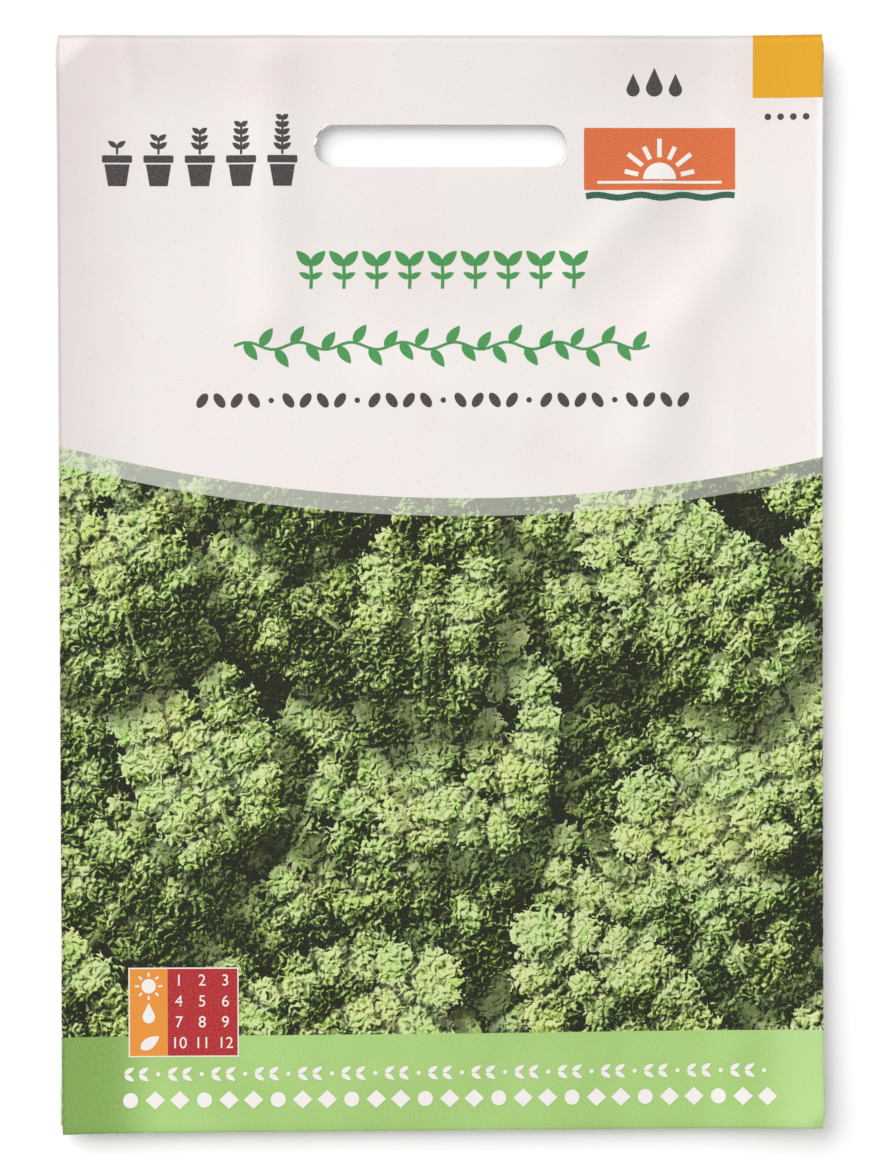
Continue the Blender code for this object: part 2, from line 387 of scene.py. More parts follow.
# %% Build the back, the lap and the flaps
def flap(name, end, length):
    """A flap on the back, from the end fold to its free edge."""
    fold_to_edge = stations(FOLD_LINE_Y, HALF_HEIGHT - length, BACK_STEP / 2)
    x, y = np.meshgrid(stations(-FOLD_LINE_X, FOLD_LINE_X, BACK_STEP), fold_to_edge, indexing="ij")
    depth = HALF_HEIGHT - y
    proud = FLAP_OVERHANG * clamp(depth / CORNER_NOTCH)
    corner = FLAP_CORNER * clamp(2 * depth / length - 1)
    wide = x * (1 + (proud - corner) / HALF_WIDTH)
    y = end * y
    return sheet(name, np.stack([wide, y, flap_level(wide, y)], axis=2))


coarse_ys = stations(-BODY_END, BODY_END, BACK_STEP)
back_panel = sheet("back_panel", laid(stations(-FOLD_LINE_X, BACK_EDGE, BACK_STEP), coarse_ys, back_level))
side_lap = sheet("side_lap", laid(stations(LAP_EDGE, FOLD_LINE_X, BACK_STEP), coarse_ys, lap_level))
bottom_flap = flap("bottom_flap", -1, BOTTOM_FLAP)
top_flap = flap("top_flap", 1, TOP_FLAP)
print("flaps:", [round(abs(v) / MM, 1) for v in (BOTTOM_FLAP, TOP_FLAP)], "mm long")

# %% [markdown]
# ## Cutting the hanging slot
# The slot is die-cut through both panels at once: a straight slot with round ends. The die is
# a block with that outline here, much longer than the packet is thick. The same outline is
# used again later, for the fibres on the slot's rim.

# %% Make the die
SLOT_END_STEPS = 24
DIE_REACH = 5 * MM


def slot_rim(steps=SLOT_END_STEPS, grow=0.0):
    """The points round the slot, anticlockwise from its upper right."""
    radius = SLOT_WIDTH / 2 + grow
    centre = SLOT_LENGTH / 2 - SLOT_WIDTH / 2
    rim = []
    for end in (-1, 1):
        for i in range(steps + 1):
            angle = math.pi * i / steps
            x = end * (centre + radius * math.sin(angle))
            rim.append((x, SLOT_Y - end * radius * math.cos(angle)))
    return rim


def slot_block():
    """A long block with round ends, as high as the packet."""
    bm = bmesh.new()
    rim = [bm.verts.new((x, y, -DIE_REACH)) for x, y in slot_rim()]
    face = bm.faces.new(rim)
    upper = bmesh.ops.extrude_face_region(bm, geom=[face])
    top = [v for v in upper["geom"] if isinstance(v, bmesh.types.BMVert)]
    bmesh.ops.translate(bm, verts=top, vec=(0, 0, 2 * DIE_REACH))
    bmesh.ops.recalc_face_normals(bm, faces=bm.faces)
    mesh = bpy.data.meshes.new("slot block")
    bm.to_mesh(mesh)
    bm.free()
    block = bpy.data.objects.new("slot_block", mesh)
    bpy.context.scene.collection.objects.link(block)
    return block


print("the die's outline has", len(slot_rim()), "points")

# %% [markdown]
# ## Pressing the die through
# A Boolean takes the block's shape out of a sheet. The modifiers are applied here and the block
# removed, so the pieces are plain meshes from now on. Edges sharper than a fold's are marked,
# so that smooth shading stops at the cut edges instead of smearing round them.

# %% Cut the slot and apply the modifiers
CUT_ANGLE = math.radians(50)


def finish_sheets(pieces, with_slot):
    block = slot_block()
    for piece in with_slot:
        cut = piece.modifiers.new("hanging slot", "BOOLEAN")
        cut.operation = "DIFFERENCE"
        cut.solver = "MANIFOLD"
        cut.object = block
    bpy.context.view_layer.update()
    graph = bpy.context.evaluated_depsgraph_get()
    for piece in pieces:
        finished = bpy.data.meshes.new_from_object(
            piece.evaluated_get(graph), preserve_all_data_layers=True, depsgraph=graph
        )
        piece.modifiers.clear()
        piece.data = finished
        finished.name = piece.name
        finished.set_sharp_from_angle(angle=CUT_ANGLE)
        print(piece.name, "has", len(finished.polygons), "faces")
    bpy.data.objects.remove(block)


PACKET = [front_panel, back_panel, side_lap, bottom_flap, top_flap]
finish_sheets(PACKET, with_slot=[front_panel, back_panel])

# %% [markdown]
# ## A map for the print
# An exported model can't carry the formulas that colour it. They are baked into a picture, and
# the UV map says which part of the picture each face gets. An automatic map gives both sides of
# a sheet the same room. Ours gives most of it to the side that is seen, and a narrow strip to
# the other side and the edges. The walls of the slot are new faces without a place in the map,
# so they get the place of the paper beside them.

# %% Share the map between the sides
SEEN_SHARE = 0.82
OTHER_SIDE = 0.84


def share_map(piece, seen, columns=(0, 1), rows=(0, 1)):
    """Gives the side with the seen material most of the map. Columns and rows are the grid's x and y."""
    mesh = piece.data
    total = len(mesh.loops)
    places, points = np.empty(total * 2, np.float32), np.empty(len(mesh.vertices) * 3, np.float32)
    mesh.uv_layers[SHEET_MAP].uv.foreach_get("vector", places)
    mesh.vertices.foreach_get("co", points)
    counts, sides = np.empty(len(mesh.polygons), np.int32), np.empty(len(mesh.polygons), np.int32)
    mesh.polygons.foreach_get("loop_total", counts)
    mesh.polygons.foreach_get("material_index", sides)
    corners = np.empty(total, np.int32)
    mesh.loops.foreach_get("vertex_index", corners)
    places, points = places.reshape(-1, 2), points.reshape(-1, 3)[corners]
    unplaced = np.repeat(np.maximum.reduceat(places.max(axis=1), np.cumsum(counts) - counts) <= 0, counts)
    for axis, grid in enumerate((columns, rows)):
        place = np.interp(points[:, axis], grid, np.linspace(0, 1, len(grid)))
        places[unplaced, axis] = place[unplaced]
    other = np.repeat(sides != seen, counts)
    places[:, 0] = np.where(other, OTHER_SIDE + (1 - OTHER_SIDE) * places[:, 0], SEEN_SHARE * places[:, 0])
    mesh.uv_layers[SHEET_MAP].uv.foreach_set("vector", places.ravel())
    print(piece.name, "had", int(unplaced.sum()), "corners without a place in the map")


share_map(front_panel, 0, np.pad(front_xs, FOLD_STEPS, "edge"), np.pad(front_ys, FOLD_STEPS, "edge"))
share_map(back_panel, 1, stations(-FOLD_LINE_X, BACK_EDGE, BACK_STEP), coarse_ys)
for piece in (side_lap, bottom_flap, top_flap):
    share_map(piece, 1)

# %% [markdown]
# ## Colours
# A material's colour is the share of light that it reflects, but colours are easier to judge as
# they look in a picture, from 0 to 255. These two functions turn one into the other. The light
# of this scene is a little stronger than one, which they allow for.

# %% Colours as they look
LIGHT = 1.14


def linear(red, green, blue):
    """A colour as the light of this scene shows it, 0 to 255, as the share of light it reflects."""
    shares = (red / 255, green / 255, blue / 255)
    return tuple((c / 12.92 if c <= 0.04 else ((c + 0.055) / 1.055) ** 2.4) / LIGHT for c in shares)


def colour(red, green, blue):
    return (*linear(red, green, blue), 1.0)


print("white paper reflects", [round(c, 3) for c in linear(236, 231, 228)], "of the light")

# %% [markdown]
# ## Writing materials as formulas
# Every finish here is made of nodes. A node tree built in code soon turns into a long list of
# `new` and `link` calls, so this small class hides them: each method adds one node and returns
# its output, and a number or another output can be given for any input. A material then reads
# like a formula.

# %% A short way to write nodes
class Graph:
    """Each call adds one node and gives back its output."""

    def __init__(self, tree):
        self.tree = tree

    def add(self, kind, inputs, output=0, **settings):
        node = self.tree.nodes.new(kind)
        for name, value in settings.items():
            setattr(node, name, value)
        for name, value in inputs.items():
            if isinstance(value, bpy.types.NodeSocket):
                self.tree.links.new(value, node.inputs[name])
            elif value is not None:
                node.inputs[name].default_value = value
        return node.outputs[output]

    def math(self, operation, a, b=None, c=None):
        return self.add("ShaderNodeMath", {0: a, 1: b, 2: c}, operation=operation)

    def plus(self, base, value, weight):
        """base + value * weight"""
        return self.math("MULTIPLY_ADD", value, weight, base)

    def move(self, vector, step, scale=None):
        if scale is not None:
            step = self.add("ShaderNodeVectorMath", {0: step, "Scale": scale}, operation="SCALE")
        return self.add("ShaderNodeVectorMath", {0: vector, 1: step}, operation="ADD")

    def between(self, value, start, end, low=0.0, high=1.0):
        """Smoothly from low to high as the value goes from start to end."""
        inputs = {0: value, 1: start, 2: end, 3: low, 4: high}
        return self.add("ShaderNodeMapRange", inputs, interpolation_type="SMOOTHSTEP")

    def mix(self, factor, a, b, blend="MIX"):
        inputs = {0: factor, 6: a, 7: b}
        return self.add("ShaderNodeMix", inputs, 2, data_type="RGBA", blend_type=blend)

    def noise(self, vector, scale, detail=2.0, roughness=0.5, kind="FBM", output=0, **more):
        inputs = {"Vector": vector, "Scale": scale, "Detail": detail, "Roughness": roughness}
        inputs.update(more)
        settings = {"noise_type": kind, "noise_dimensions": "2D"}
        return self.add("ShaderNodeTexNoise", inputs, output, **settings)

    def cells(self, vector, scale, smoothness=0.3, **more):
        """The distance to the nearest of many scattered points, with soft borders."""
        inputs = {"Vector": vector, "Scale": scale, "Smoothness": smoothness}
        inputs.update(more)
        settings = {"feature": "SMOOTH_F1", "voronoi_dimensions": "2D"}
        return self.add("ShaderNodeTexVoronoi", inputs, 0, **settings)

    def attribute(self, name, output=2):
        return self.add("ShaderNodeAttribute", {}, output, attribute_name=name)

    def split(self, vector):
        node = self.tree.nodes.new("ShaderNodeSeparateXYZ")
        self.tree.links.new(vector, node.inputs[0])
        return node.outputs[0], node.outputs[1], node.outputs[2]

    def ramp(self, value, stops):
        node = self.tree.nodes.new("ShaderNodeValToRGB")
        self.tree.links.new(value, node.inputs[0])
        for _ in stops[2:]:
            node.color_ramp.elements.new(0.5)
        for element, (position, tint) in zip(node.color_ramp.elements, stops):
            element.position = position
            element.color = tint
        return node.outputs[0]

    def show(self, shader):
        output = self.tree.nodes.new("ShaderNodeOutputMaterial")
        self.tree.links.new(shader, output.inputs["Surface"])


print("a graph can add", ", ".join(name for name in vars(Graph) if name[0] != "_"))

# %% [markdown]
# ## Places in millimetres
# Every finish needs to know where on the packet it is. The object coordinates say it in metres.
# Times a thousand they are millimetres, so that all sizes below are real ones. The height is
# dropped: the packet is flat, and the same pattern then runs on through every layer.

# %% Start a material
def new_material(name):
    """An empty material, its graph, and places in millimetres seen from above."""
    material = bpy.data.materials.new(name)
    material.use_nodes = True
    material.node_tree.nodes.clear()
    g = Graph(material.node_tree)
    place = g.add("ShaderNodeTexCoord", {}, 3)
    place = g.add("ShaderNodeVectorMath", {0: place, 1: (1 / MM, 1 / MM, 0)}, operation="MULTIPLY")
    return material, g, place


print("the packet is", round(2 * HALF_WIDTH / MM), "of a material's units wide")

# %% [markdown]
# ## Uncoated recycled paper
# The paper is off-white with a warm and a cool mottling a few centimetres wide. Close up it has
# sparse grey and pale flecks a quarter of a millimetre wide. They are the centres of scattered
# cells, kept only where a second noise allows, because recycled pulp has them in loose groups.

# %% The paper's colour
PAPER_WHITE = colour(239, 233, 230)
PAPER_PINK = colour(240, 230, 229)
PAPER_COOL = colour(237, 232, 228)
FLECK_GREY = colour(192, 187, 187)
FLECK_PALE = colour(246, 243, 240)
FLECKS = ((0.62, FLECK_GREY, 0.11, 0.52), (0.5, FLECK_PALE, 0.14, 0.50))


def paper_colour(g, place):
    patches = g.noise(place, 0.045, 3.0, 0.6)
    tone = g.mix(g.between(patches, 0.47, 0.66), PAPER_WHITE, PAPER_PINK)
    tone = g.mix(g.between(patches, 0.46, 0.32), tone, PAPER_COOL)
    cloud = g.noise(place, 0.5, 3.0, 0.65)
    tone = g.mix(g.between(cloud, 0.3, 0.7, 0.0, 0.35), tone, PAPER_COOL)
    allowed = g.noise(place, 0.35, 2.0, 0.6)
    for scale, tint, size, share in FLECKS:
        near = g.cells(g.move(place, (scale * 50, 7, 0)), scale, 0.0)
        fleck = g.between(near, size * 1.3 * scale, size * 0.6 * scale)
        kept = g.between(allowed, share, share + 0.14, 0.0, 0.5)
        tone = g.mix(g.math("MULTIPLY", fleck, kept), tone, tint)
    return tone


print("the paper has", len(FLECKS), "kinds of fleck")

# %% [markdown]
# ## The paper's surface
# Uncoated paper is quite matt, with a touch of unevenness in how matt it is. Its surface is made
# of fibres that are longer than wide, so the noise for the bump is stretched two ways and added.
# Real relief would need millions of faces, and a bump gives the same shading.

# %% The paper's grain
PAPER_ROUGHNESS = 0.78
PAPER_SHINE = 0.12
FIBRE_RELIEF = 0.012 * MM


def paper_height(g, place):
    """Fibres that lie both ways, as a height from about 0 to 1."""
    lie_across = g.add("ShaderNodeVectorMath", {0: place, 1: (1.1, 3.4, 0)}, operation="MULTIPLY")
    lie_along = g.add("ShaderNodeVectorMath", {0: place, 1: (3.2, 1.0, 0)}, operation="MULTIPLY")
    return g.math("ADD", g.noise(lie_across, 1.0, 2.0), g.noise(lie_along, 1.0, 2.0))


def finish_paper(material, g, place, tint, roughness=PAPER_ROUGHNESS, relief=FIBRE_RELIEF):
    bump = g.add("ShaderNodeBump", {"Height": paper_height(g, place), "Distance": relief, "Strength": 1.0})
    rough = g.between(g.noise(place, 0.8, 2.0), 0.3, 0.7, roughness - 0.05, roughness + 0.06)
    inputs = {"Base Color": tint, "Roughness": rough, "Normal": bump, "Specular IOR Level": PAPER_SHINE}
    g.show(g.add("ShaderNodeBsdfPrincipled", inputs))
    return material


print("the fibres stand", FIBRE_RELIEF / MM, "mm proud")

# %% [markdown]
# ## The printed picture: where the leaves are
# The lower part of the front is printed with curly kale leaves. Here it is a pattern of our
# own: leaves scattered on an uneven grid, which lean this way and that. An image texture would
# be the usual way, but formulas stay sharp at any size. Leaves that lie next to each other are
# in different layers, so that no two of a layer meet.

# %% Scatter the leaves
PICTURE_BOTTOM = -67.8
LAYERS = 6
LEAF_GRID = 22.0
LEAF_LENGTH = 47.0
LEAF_WIDTH = 24.0
LEAF_TURN = 1.3
LEAF_SEED = 11


def leaf_layers():
    """For each layer, upper first, each leaf's base, turn, length, width and tone, in mm."""
    draw = np.random.default_rng(LEAF_SEED)
    layers = [[] for _ in range(LAYERS)]
    for row in range(-1, 6):
        for column in range(-1, 7):
            x = -HALF_WIDTH / MM + (column + 0.5 * (row % 2)) * LEAF_GRID + draw.uniform(-3.5, 3.5)
            y = PICTURE_BOTTOM + row * LEAF_GRID + draw.uniform(-3.5, 3.5)
            turn = draw.uniform(-LEAF_TURN, LEAF_TURN)
            length = LEAF_LENGTH * draw.uniform(0.88, 1.12)
            width = LEAF_WIDTH * draw.uniform(0.88, 1.12)
            base_x = x - 0.55 * length * math.sin(turn)
            base_y = y - 0.55 * length * math.cos(turn)
            leaf = (base_x, base_y, turn, length, width, draw.uniform())
            layers[(3 * (column % 2) + 2 * (row % 3)) % LAYERS].append(leaf)
    return layers


LEAVES = leaf_layers()
print("the layers have", [len(leaves) for leaves in LEAVES], "leaves")

# %% [markdown]
# ## The printed picture: the shape of a leaf
# A kale leaf is a rib with pairs of lobes, widest past its middle, and a round tip. Each lobe
# is a disc here, and small ones fill the middle. The sizes wobble from lobe to lobe, and the
# whole leaf bends a little to one side. Discs are enough, because the frills come later.

# %% Give a leaf its lobes
LOBE_PAIRS = 7
LEAF_BEND = 1.5


def bend_of(turn):
    """How far the tip is bent sideways, to the side that the leaf leans to."""
    return LEAF_BEND * math.copysign(1, turn)


def leaf_lobes(leaf):
    """The middle and radius of each lobe of a leaf."""
    base_x, base_y, turn, length, width, tone = leaf
    lobes = [(0.0, length * 0.95, width * 0.19)]
    for i in range(LOBE_PAIRS):
        share = (i + 0.5) / LOBE_PAIRS
        half = width / 2 * math.sin(math.pi * (0.17 + 0.72 * share)) ** 0.7
        for side in (-1, 1):
            wobble = math.sin(9 * tone + 2.3 * i + 1.7 * side)
            radius = half * (0.44 + 0.08 * wobble)
            along = length * (0.20 + 0.72 * share) + 1.1 * side + 0.9 * wobble
            lobes.append((side * (half - 0.85 * radius), along, radius))
        lobes.append((0.4 * wobble, along - 1.5, half * 0.34))
    c, s = math.cos(turn), math.sin(turn)
    placed = []
    for across, along, radius in lobes:
        across += bend_of(turn) * (along / length) ** 2
        placed.append((base_x + across * c + along * s, base_y + along * c - across * s, radius))
    return placed


print("a leaf has", len(leaf_lobes(LEAVES[0][0])), "lobes")

# %% [markdown]
# ## The printed picture: numbers for the shader
# A shader can't walk through a list of leaves. So the sheet's points store, for every layer, how
# far they are outside the nearest lobe, the light on its dome and their place along the rib. The
# faces between them blend these smooth numbers, and the shader adds frills of any fineness. A
# place is in a leaf's shadow if the leaf is a little way off towards the sun.

# %% Measure the leaves
SUN_SIDE = (-0.68, 0.73)
SHADOW_REACH = 2.5
FAR_AWAY = 1e3
KEPT_REACH = 20


def leaf_fields(x, y, leaf):
    """How far places are outside a leaf and from the clefts between its lobes, the light on it,
    and how far across and along its rib they are."""
    base_x, base_y, turn, length, width, tone = leaf
    nearest = np.full(x.shape, FAR_AWAY)
    second = np.full(x.shape, FAR_AWAY)
    lit = np.zeros(x.shape)
    crown = np.zeros(x.shape)
    for lobe_x, lobe_y, radius in leaf_lobes(leaf):
        dx, dy = x - lobe_x, y - lobe_y
        away = np.hypot(dx, dy)
        edge = away - radius
        closer = edge < nearest
        second = np.where(closer, nearest, np.minimum(second, edge))
        lit = np.where(closer, (dx * SUN_SIDE[0] + dy * SUN_SIDE[1]) / np.maximum(away, radius), lit)
        crown = np.where(closer, np.clip(1 - away / radius, 0, 1), crown)
        nearest = np.minimum(nearest, edge)
    c, s = math.cos(turn), math.sin(turn)
    dx, dy = x - base_x, y - base_y
    along = (dx * s + dy * c) / length
    across = dx * c - dy * s - bend_of(turn) * along**2
    light = 0.36 * lit + 0.32 * crown + 0.50 * (tone - 0.5) + 0.70 * (along - 0.65)
    return nearest, second - nearest, light, across, along


def layer_fields(x, y, leaves):
    """The fields of the nearest leaf of a layer."""
    chosen = np.full((5, len(x)), FAR_AWAY)
    for leaf in leaves:
        fields = np.stack(leaf_fields(x, y, leaf))
        apart = np.abs(fields[0] - chosen[0])
        chosen = np.where(fields[0] < chosen[0], fields, chosen)
        chosen[1] = np.minimum(chosen[1], apart)
    chosen[0] = np.clip(chosen[0], -KEPT_REACH, KEPT_REACH)
    return chosen


print("shadows reach", SHADOW_REACH, "mm")

# %% [markdown]
# ## The printed picture: keeping the numbers
# Numbers that belong to the points of a mesh are attributes, and a material can read them by
# name. Three fit into one vector, so two vectors for each layer hold everything.

# %% Store the leaves on the front panel
def store_leaves(piece):
    """Keeps each layer's fields as attributes of the piece's points."""
    mesh = piece.data
    co = np.empty(len(mesh.vertices) * 3, np.float32)
    mesh.vertices.foreach_get("co", co)
    x, y = co[0::3].astype(float) / MM, co[1::3].astype(float) / MM
    for layer, leaves in enumerate(LEAVES):
        edge, cleft, light, across, along = layer_fields(x, y, leaves)
        to_sun = (x + SHADOW_REACH * SUN_SIDE[0], y + SHADOW_REACH * SUN_SIDE[1])
        shadow = layer_fields(*to_sun, leaves)[0]
        for name, fields in (("form", (edge, shadow, light)), ("rib", (across, along, cleft))):
            kept = mesh.attributes.new(f"leaf_{name}_{layer}", "FLOAT_VECTOR", "POINT")
            kept.data.foreach_set("vector", np.stack(fields, axis=1).astype(np.float32).ravel())
    print("stored", LAYERS, "layers of leaves on", len(x), "points")


store_leaves(front_panel)

# %% [markdown]
# ## The printed picture: frills and lobes
# A curly leaf looks like a crowd of bright heads under a millimetre wide, with dark gaps. Soft
# cells give the heads, and ridged noise, which has sharp crests, gives the crimped rims. The
# picture has its own light, from the upper left, printed for good. To get it, the same height
# is read twice, here and a quarter of a millimetre up and to the left, and the difference is
# the lit side. Larger cells do the same for the lobes. Broader noises vary the light and hue.

# %% Frills and lobes as heights
CRIMP, WAVE = 1.8, 4.5
FRILL_TO_SUN, LOBE_TO_SUN = (-0.26, 0.28, 0), (-1.3, 1.4, 0)


def frill_height(g, at):
    heads = g.cells(at, 1.0, 0.25, Detail=1.0, Roughness=0.7)
    crests = g.noise(at, 0.8, 3.0, 0.6, "RIDGED_MULTIFRACTAL", Lacunarity=2.3, Offset=0.9, Gain=1.6)
    return g.plus(g.plus(0.56, heads, -0.72), crests, 0.34)


def lobe_height(g, at):
    return g.math("MULTIPLY", g.cells(at, 0.17, 0.35, Detail=1.0), -1.0)


def centred_noise(g, at, *settings):
    return g.math("SUBTRACT", g.noise(at, *settings), 0.5)


def picture_fields(g, place):
    """What the picture is mixed from, by name."""
    push = g.move(g.noise(place, 0.5, 2.0, output=1), (-0.5, -0.5, -0.5))
    crimped = g.move(place, push, CRIMP)
    wavy = g.move(place, push, WAVE)
    frill = frill_height(g, crimped)
    lobe = lobe_height(g, wavy)
    return {
        "frill": frill,
        "frill_lit": g.math("SUBTRACT", frill, frill_height(g, g.move(crimped, FRILL_TO_SUN))),
        "lobe": lobe,
        "lobe_lit": g.math("SUBTRACT", lobe, lobe_height(g, g.move(wavy, LOBE_TO_SUN))),
        "clump": centred_noise(g, crimped, 0.16, 3.0, 0.6),
        "broad": centred_noise(g, place, 0.035, 1.0),
        "fine": centred_noise(g, place, 2.6, 2.0, 0.75),
        "hue": g.noise(place, 0.09, 2.0, 0.6),
        "cover": g.noise(crimped, 0.42, 2.0, 0.6),
        "blade": g.between(g.noise(crimped, 0.3, 2.0, 0.6), 0.52, 0.64, 0.0, 0.75),
    }


print("the frills' sunny side is read", round(math.hypot(*FRILL_TO_SUN), 2), "mm away")

# %% [markdown]
# ## The printed picture: the inks of a leaf
# A ramp turns light into ink, from nearly black green in the gaps to a pale yellow green on the
# frills that face the sun. The light has two parts. The crisp part shapes every frill. The soft
# part follows the lobe, the leaf and its layer, and is held between two limits, so that no
# leaf turns plain white or plain black. Some places are cooler, warmer or more vivid.

# %% The colour of the leaves
LEAF_STOPS = [
    (0.0, colour(19, 25, 10)),
    (0.22, colour(40, 55, 22)),
    (0.42, colour(91, 111, 54)),
    (0.60, colour(142, 163, 85)),
    (0.80, colour(184, 200, 122)),
    (1.0, colour(214, 227, 166)),
]
COOL_LEAF = (0.86, 0.97, 0.95, 1)
WARM_LEAF = (1.09, 1.02, 0.80, 1)
VIVID_LEAF = (0.85, 1.0, 0.68, 1)
CRISP_BASE, CRISP_LIGHT = 0.41, {"frill_lit": 0.84, "frill": 0.52, "fine": 0.26}
SOFT_BASE, SOFT_LIGHT = 0.06, {"lobe_lit": 0.62, "lobe": 0.34, "clump": 1.25, "broad": -2.4}
DOME_LIGHT = 1.9
LAYER_LIGHT = 0.15
SOFT_INPUT, SOFT_LIMITS = (-0.86, 0.80), (-0.56, 0.29)


def weighted(g, base, weights, fields):
    for name, weight in weights.items():
        base = g.plus(base, fields[name], weight)
    return base


def lit_leaf(g, crisp, soft, form, layer, side, ragged):
    soft = g.plus(soft, form, DOME_LIGHT)
    soft = g.plus(soft, LAYERS / 2 - layer, LAYER_LIGHT)
    soft = g.plus(soft, g.between(side, 2.6, 0.3), -0.10)
    soft = g.between(soft, *SOFT_INPUT, *SOFT_LIMITS)
    light = g.plus(crisp, g.between(ragged, -2.2, -0.3), 0.08)
    return g.ramp(g.math("ADD", light, soft), LEAF_STOPS)


def varied_leaf(g, leaf, fields):
    cool = g.mix(1.0, leaf, COOL_LEAF, "MULTIPLY")
    warm = g.mix(1.0, leaf, WARM_LEAF, "MULTIPLY")
    leaf = g.mix(g.between(fields["hue"], 0.52, 0.36, 0.0, 0.65), leaf, cool)
    leaf = g.mix(g.between(fields["hue"], 0.52, 0.66, 0.0, 0.5), leaf, warm)
    return g.mix(fields["blade"], leaf, g.mix(1.0, leaf, VIVID_LEAF, "MULTIPLY"))


print("the leaves' ink has", len(LEAF_STOPS), "tones, from shade to the brightest frill")

# %% [markdown]
# ## The printed picture: ribs, gaps and layers
# A pale rib runs up each leaf, thinner towards the tip and hidden where the frills close over
# it. The layers are then laid over each other from the lowest up. Each first darkens what is
# in its shadow, and then covers it. The edge of each leaf is moved in and out by the frills'
# own heights, so that they stand out over the dark behind.

# %% The picture's colour
SHADE_STOPS = [
    (0.0, colour(23, 25, 17)),
    (0.35, colour(38, 45, 27)),
    (0.65, colour(70, 86, 46)),
    (1.0, colour(104, 126, 66)),
]
SHADE_BASE, SHADE_LIGHT = 0.06, {"frill_lit": 0.9, "frill": 0.45, "clump": 1.6}
INK_BLACK = colour(27, 32, 14)
SHADOW = (0.24, 0.25, 0.24, 1)
RIB = colour(168, 190, 120)
RIB_SHADE = colour(104, 128, 66)
FRILL_REACH, LOBE_REACH = 2.4, 1.8


def with_rib(g, leaf, fields, across, along, side):
    half_width = g.between(along, 0.0, 0.85, 0.50, 0.02)
    rib = g.between(g.math("SUBTRACT", side, half_width), 0.14, -0.10)
    rib = g.math("MULTIPLY", rib, g.between(along, 0.85, 0.45))
    rib = g.math("MULTIPLY", rib, g.between(fields["cover"], 0.58, 0.42))
    rib = g.math("MULTIPLY", rib, g.between(fields["frill"], 0.9, 0.5, 0.35, 1.0))
    return g.mix(rib, leaf, g.mix(g.between(across, -0.25, 0.3), RIB, RIB_SHADE))


def picture_colour(g, place):
    fields = picture_fields(g, place)
    ragged_by = g.plus(g.plus(0.0, fields["frill"], FRILL_REACH), fields["lobe"], LOBE_REACH)
    closed_by = g.plus(-0.75, fields["frill"], 1.5)
    crisp = weighted(g, CRISP_BASE, CRISP_LIGHT, fields)
    soft = weighted(g, SOFT_BASE, SOFT_LIGHT, fields)
    shaded_leaf = g.ramp(weighted(g, SHADE_BASE, SHADE_LIGHT, fields), SHADE_STOPS)
    tint = shaded_leaf
    for layer in reversed(range(LAYERS)):
        edge, shadow, form = g.split(g.attribute(f"leaf_form_{layer}", 1))
        across, along, cleft = g.split(g.attribute(f"leaf_rib_{layer}", 1))
        ragged = g.math("SUBTRACT", edge, ragged_by)
        shaded = g.math("SUBTRACT", shadow, ragged_by)
        tint = g.mix(g.between(shaded, 3.6, -0.6, 0.0, 0.97), tint, SHADOW, "MULTIPLY")
        side = g.math("ABSOLUTE", across)
        leaf = lit_leaf(g, crisp, soft, form, layer, side, ragged)
        open_cleft = g.between(g.math("ADD", cleft, closed_by), 1.1, -0.1, 0.0, 0.8)
        leaf = varied_leaf(g, g.mix(open_cleft, leaf, shaded_leaf), fields)
        leaf = with_rib(g, leaf, fields, across, along, side)
        tint = g.mix(g.between(ragged, 0.12, -0.12), tint, leaf)
    return g.mix(1.0, tint, INK_BLACK, "LIGHTEN")


print("the frills move a leaf's edge by up to", FRILL_REACH, "mm")

# %% [markdown]
# ## Painted shade on the paper
# The paper is darkened along the left and the top, and in two soft spots below the slot: this is
# painted shade. The folds at the left and the top get a thin painted shade, and the paper is
# whiter along the right edge. These masks are made from the distance to an edge or a spot.

# %% Paint shade on the paper
EDGE_WHITE = colour(255, 254, 252)
PAINTED_SHADE_TINT = (0.945, 0.925, 0.924, 1)
PAINTED_SHADE_SPOTS = [((37.0, 56.0), (0.105, 0.060), 0.95), ((-2.0, 45.0), (0.045, 0.095), 0.5)]
FOLD_SHADE_TINT = (0.72, 0.71, 0.71, 1)
FOLD_SHADE_WIDTH = 0.75
WORN_WHITE = colour(240, 237, 233)


# Painted shade darkens the paper along the left and the top, and in two soft spots below the slot.
def handled_paper(g, place, x, y, bare):
    off_middle = g.between(g.math("ABSOLUTE", x), 12.0, 30.0)
    top = g.math("MULTIPLY", g.between(y, 68.0, 79.0), off_middle)
    painted_shade = g.math("MAXIMUM", g.between(x, -43.0, -54.0), top)
    for (spot_x, spot_y), (narrow, low), strength in PAINTED_SHADE_SPOTS:
        moved = g.move(place, (-spot_x, -spot_y, 0))
        shrunk = g.add("ShaderNodeVectorMath", {0: moved, 1: (narrow, low, 0)}, operation="MULTIPLY")
        away = g.add("ShaderNodeVectorMath", {0: shrunk}, 1, operation="LENGTH")
        painted_shade = g.math("MAXIMUM", painted_shade, g.between(away, 1.0, 0.1, 0.0, strength))
    bare = g.mix(painted_shade, bare, g.mix(1.0, bare, PAINTED_SHADE_TINT, "MULTIPLY"))
    return g.mix(g.between(x, 56.2, 57.3, 0.0, 0.8), bare, EDGE_WHITE)


def worn_edges(g, place, x, y, tint):
    """The print is rubbed off in flecks along all the folds."""
    from_side = g.math("SUBTRACT", HALF_WIDTH / MM, g.math("ABSOLUTE", x))
    from_end = g.math("SUBTRACT", HALF_HEIGHT / MM, g.math("ABSOLUTE", y))
    to_edge = g.math("MINIMUM", from_side, from_end)
    rub = g.noise(place, 0.9, 4.0, 0.75)
    return g.mix(g.between(g.plus(to_edge, rub, -0.6), -0.20, -0.42, 0.0, 0.7), tint, WORN_WHITE)
